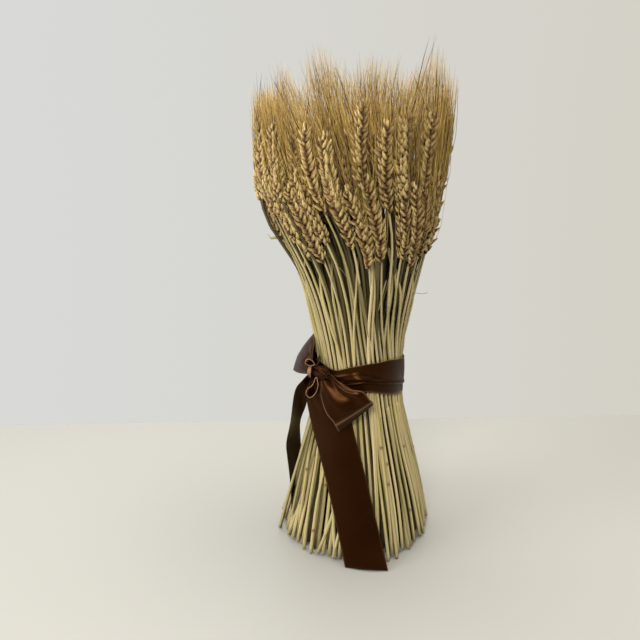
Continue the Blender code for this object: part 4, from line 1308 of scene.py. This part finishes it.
# The table's far edge as two points on it, its colours and the wall's, the glow by direction, and the lamps
# as (place, target, size, power, colour).
room = dict(
    edgeLeft=(-0.550, 0.221), edgeRight=(0.463, 0.315), tableReach=4.0,
    wallLeft=(0.690, 0.695, 0.680), wallRight=(0.655, 0.630, 0.560), wallSlope=1.1,
    tableLeft=(0.360, 0.354, 0.330), tableRight=(0.392, 0.387, 0.358), speckScale=2.0,
    specks=((0.3, (0.97, 0.97, 0.97)), (0.7, (1.0, 1.0, 1.0))),
    settings={"Roughness": 0.45, "Specular IOR Level": 0.3},
    glowByHeight=((0.0, (0.20, 0.20, 0.20)), (0.45, (0.30, 0.30, 0.30)), (0.56, (0.80, 0.80, 0.78)),
                  (1.0, (2.0, 1.97, 1.91))),
    glowByLeft=((0.45, (0.0, 0.0, 0.0)), (1.0, (0.75, 0.78, 0.82))),
    tintByLeft=((0.10, (1.04, 0.96, 0.78)), (0.55, (1.0, 1.0, 1.0))),
    glowByDepth=((0.0, (0.12, 0.12, 0.12)), (0.5, (0.30, 0.30, 0.30)), (0.62, (0.42, 0.42, 0.42)),
                 (0.8, (0.75, 0.75, 0.75))),
    lamps=dict(
        ceiling=((0.05, 0.15, 1.5), (0.0, 0.0, 0.2), (1.3, 0.8), 19.0, (1.0, 0.97, 0.92)),
        window=((-1.2, -0.50, 0.85), (0.0, 0.0, 0.18), (0.9, 0.9), 11.5, (1.0, 0.99, 0.97)),
        front=((-0.22, -1.15, 1.22), (0.0, 0.0, 0.2), (0.60, 0.45), 14.0, (1.0, 0.97, 0.92)),
    ),
)


# The table: a square whose far edge runs through the two points, its colour lighter from left to right as
# painted light.
def addTable():
    left, right = np.array(room["edgeLeft"]), np.array(room["edgeRight"])
    along = unit(right - left)
    middle, reach = (left + right) / 2, room["tableReach"]
    nearSide = np.array([along[1], -along[0]]) * reach
    corners = [middle - along * reach, middle + along * reach,
               middle + along * reach + nearSide, middle - along * reach + nearSide]
    mesh = bpy.data.meshes.new("table")
    mesh.from_pydata([(x, y, 0.0) for x, y in corners], [], [(3, 2, 1, 0)])
    material, tree, shader = newMaterial("table")
    position = tree.nodes.new("ShaderNodeTexCoord").outputs["Object"]
    noise = tree.nodes.new("ShaderNodeTexNoise")
    noise.inputs["Scale"].default_value = room["speckScale"]
    wire(tree, position, noise.inputs["Vector"])
    # Painted light: the table's colour is lighter towards the right.
    across = mathNode(tree, "ADD", splitNode(tree, position)["X"], 0.5)
    colour = rampNode(tree, across, ((0.0, room["tableLeft"]), (1.0, room["tableRight"])))
    finish(tree, shader, tinted(tree, colour, noise.outputs["Fac"], room["specks"]), room)
    mesh.materials.append(material)
    table = bpy.data.objects.new("table", mesh)
    bpy.context.scene.collection.objects.link(table)


# A soft oval lamp, turned to its target by the angles of the way there.
def areaLight(name, place, target, size, power, colour):
    data = bpy.data.lights.new(name, "AREA")
    data.shape = "ELLIPSE"
    data.size, data.size_y = size
    data.energy = power
    data.color = colour
    light = bpy.data.objects.new(name, data)
    light.location = place
    way = np.array(target) - np.array(place)
    level = math.hypot(way[0], way[1])
    light.rotation_euler = (math.atan2(level, -way[2]), 0.0, math.atan2(-way[0], way[1]))
    bpy.context.scene.collection.objects.link(light)


# What lights the room, by direction: bright overhead, a paler side to the left and little from the front.
# The camera itself sees the plain wall, a little cooler to the left than to the right.
def addRoomLight():
    world = bpy.data.worlds.new("room")
    world.use_nodes = True
    tree = world.node_tree
    way = splitNode(tree, tree.nodes.new("ShaderNodeTexCoord").outputs["Generated"])
    across = toShare(tree, way["X"], room["wallSlope"])
    wall = rampNode(tree, across, ((0.0, room["wallLeft"]), (1.0, room["wallRight"])))
    leftward = toShare(tree, way["X"], -0.5)
    above = rampNode(tree, toShare(tree, way["Z"]), room["glowByHeight"])
    glow = mixNode(tree, "ADD", 1.0, above, rampNode(tree, leftward, room["glowByLeft"]))
    glow = tinted(tree, glow, toShare(tree, way["Y"]), room["glowByDepth"])
    glow = tinted(tree, glow, leftward, room["tintByLeft"])
    seen = tree.nodes.new("ShaderNodeLightPath").outputs["Is Camera Ray"]
    back = tree.nodes["Background"]
    wire(tree, mixNode(tree, "MIX", seen, glow, wall), back.inputs["Color"])
    back.inputs["Strength"].default_value = 1.0
    bpy.context.scene.world = world


def addLights():
    addRoomLight()
    for name, lamp in room["lamps"].items():
        areaLight(name, *lamp)
    bpy.context.scene.view_settings.view_transform = "Standard"


# The plants, in the order in which they share one run of draws.
def dressSheaf(*materials):
    stalks, draw = layOutStalks(), np.random.default_rng(ears["seed"])
    dressStalks(stalks, draw, *materials)
    dressPacked(stalks, draw, *materials)
    dressLoose(draw, materials[0])


addCamera()
addTable()
addLights()
print("room done")
dressSheaf(strawMaterial(), huskMaterial(), awnMaterial())
tieRibbon(satinMaterial())
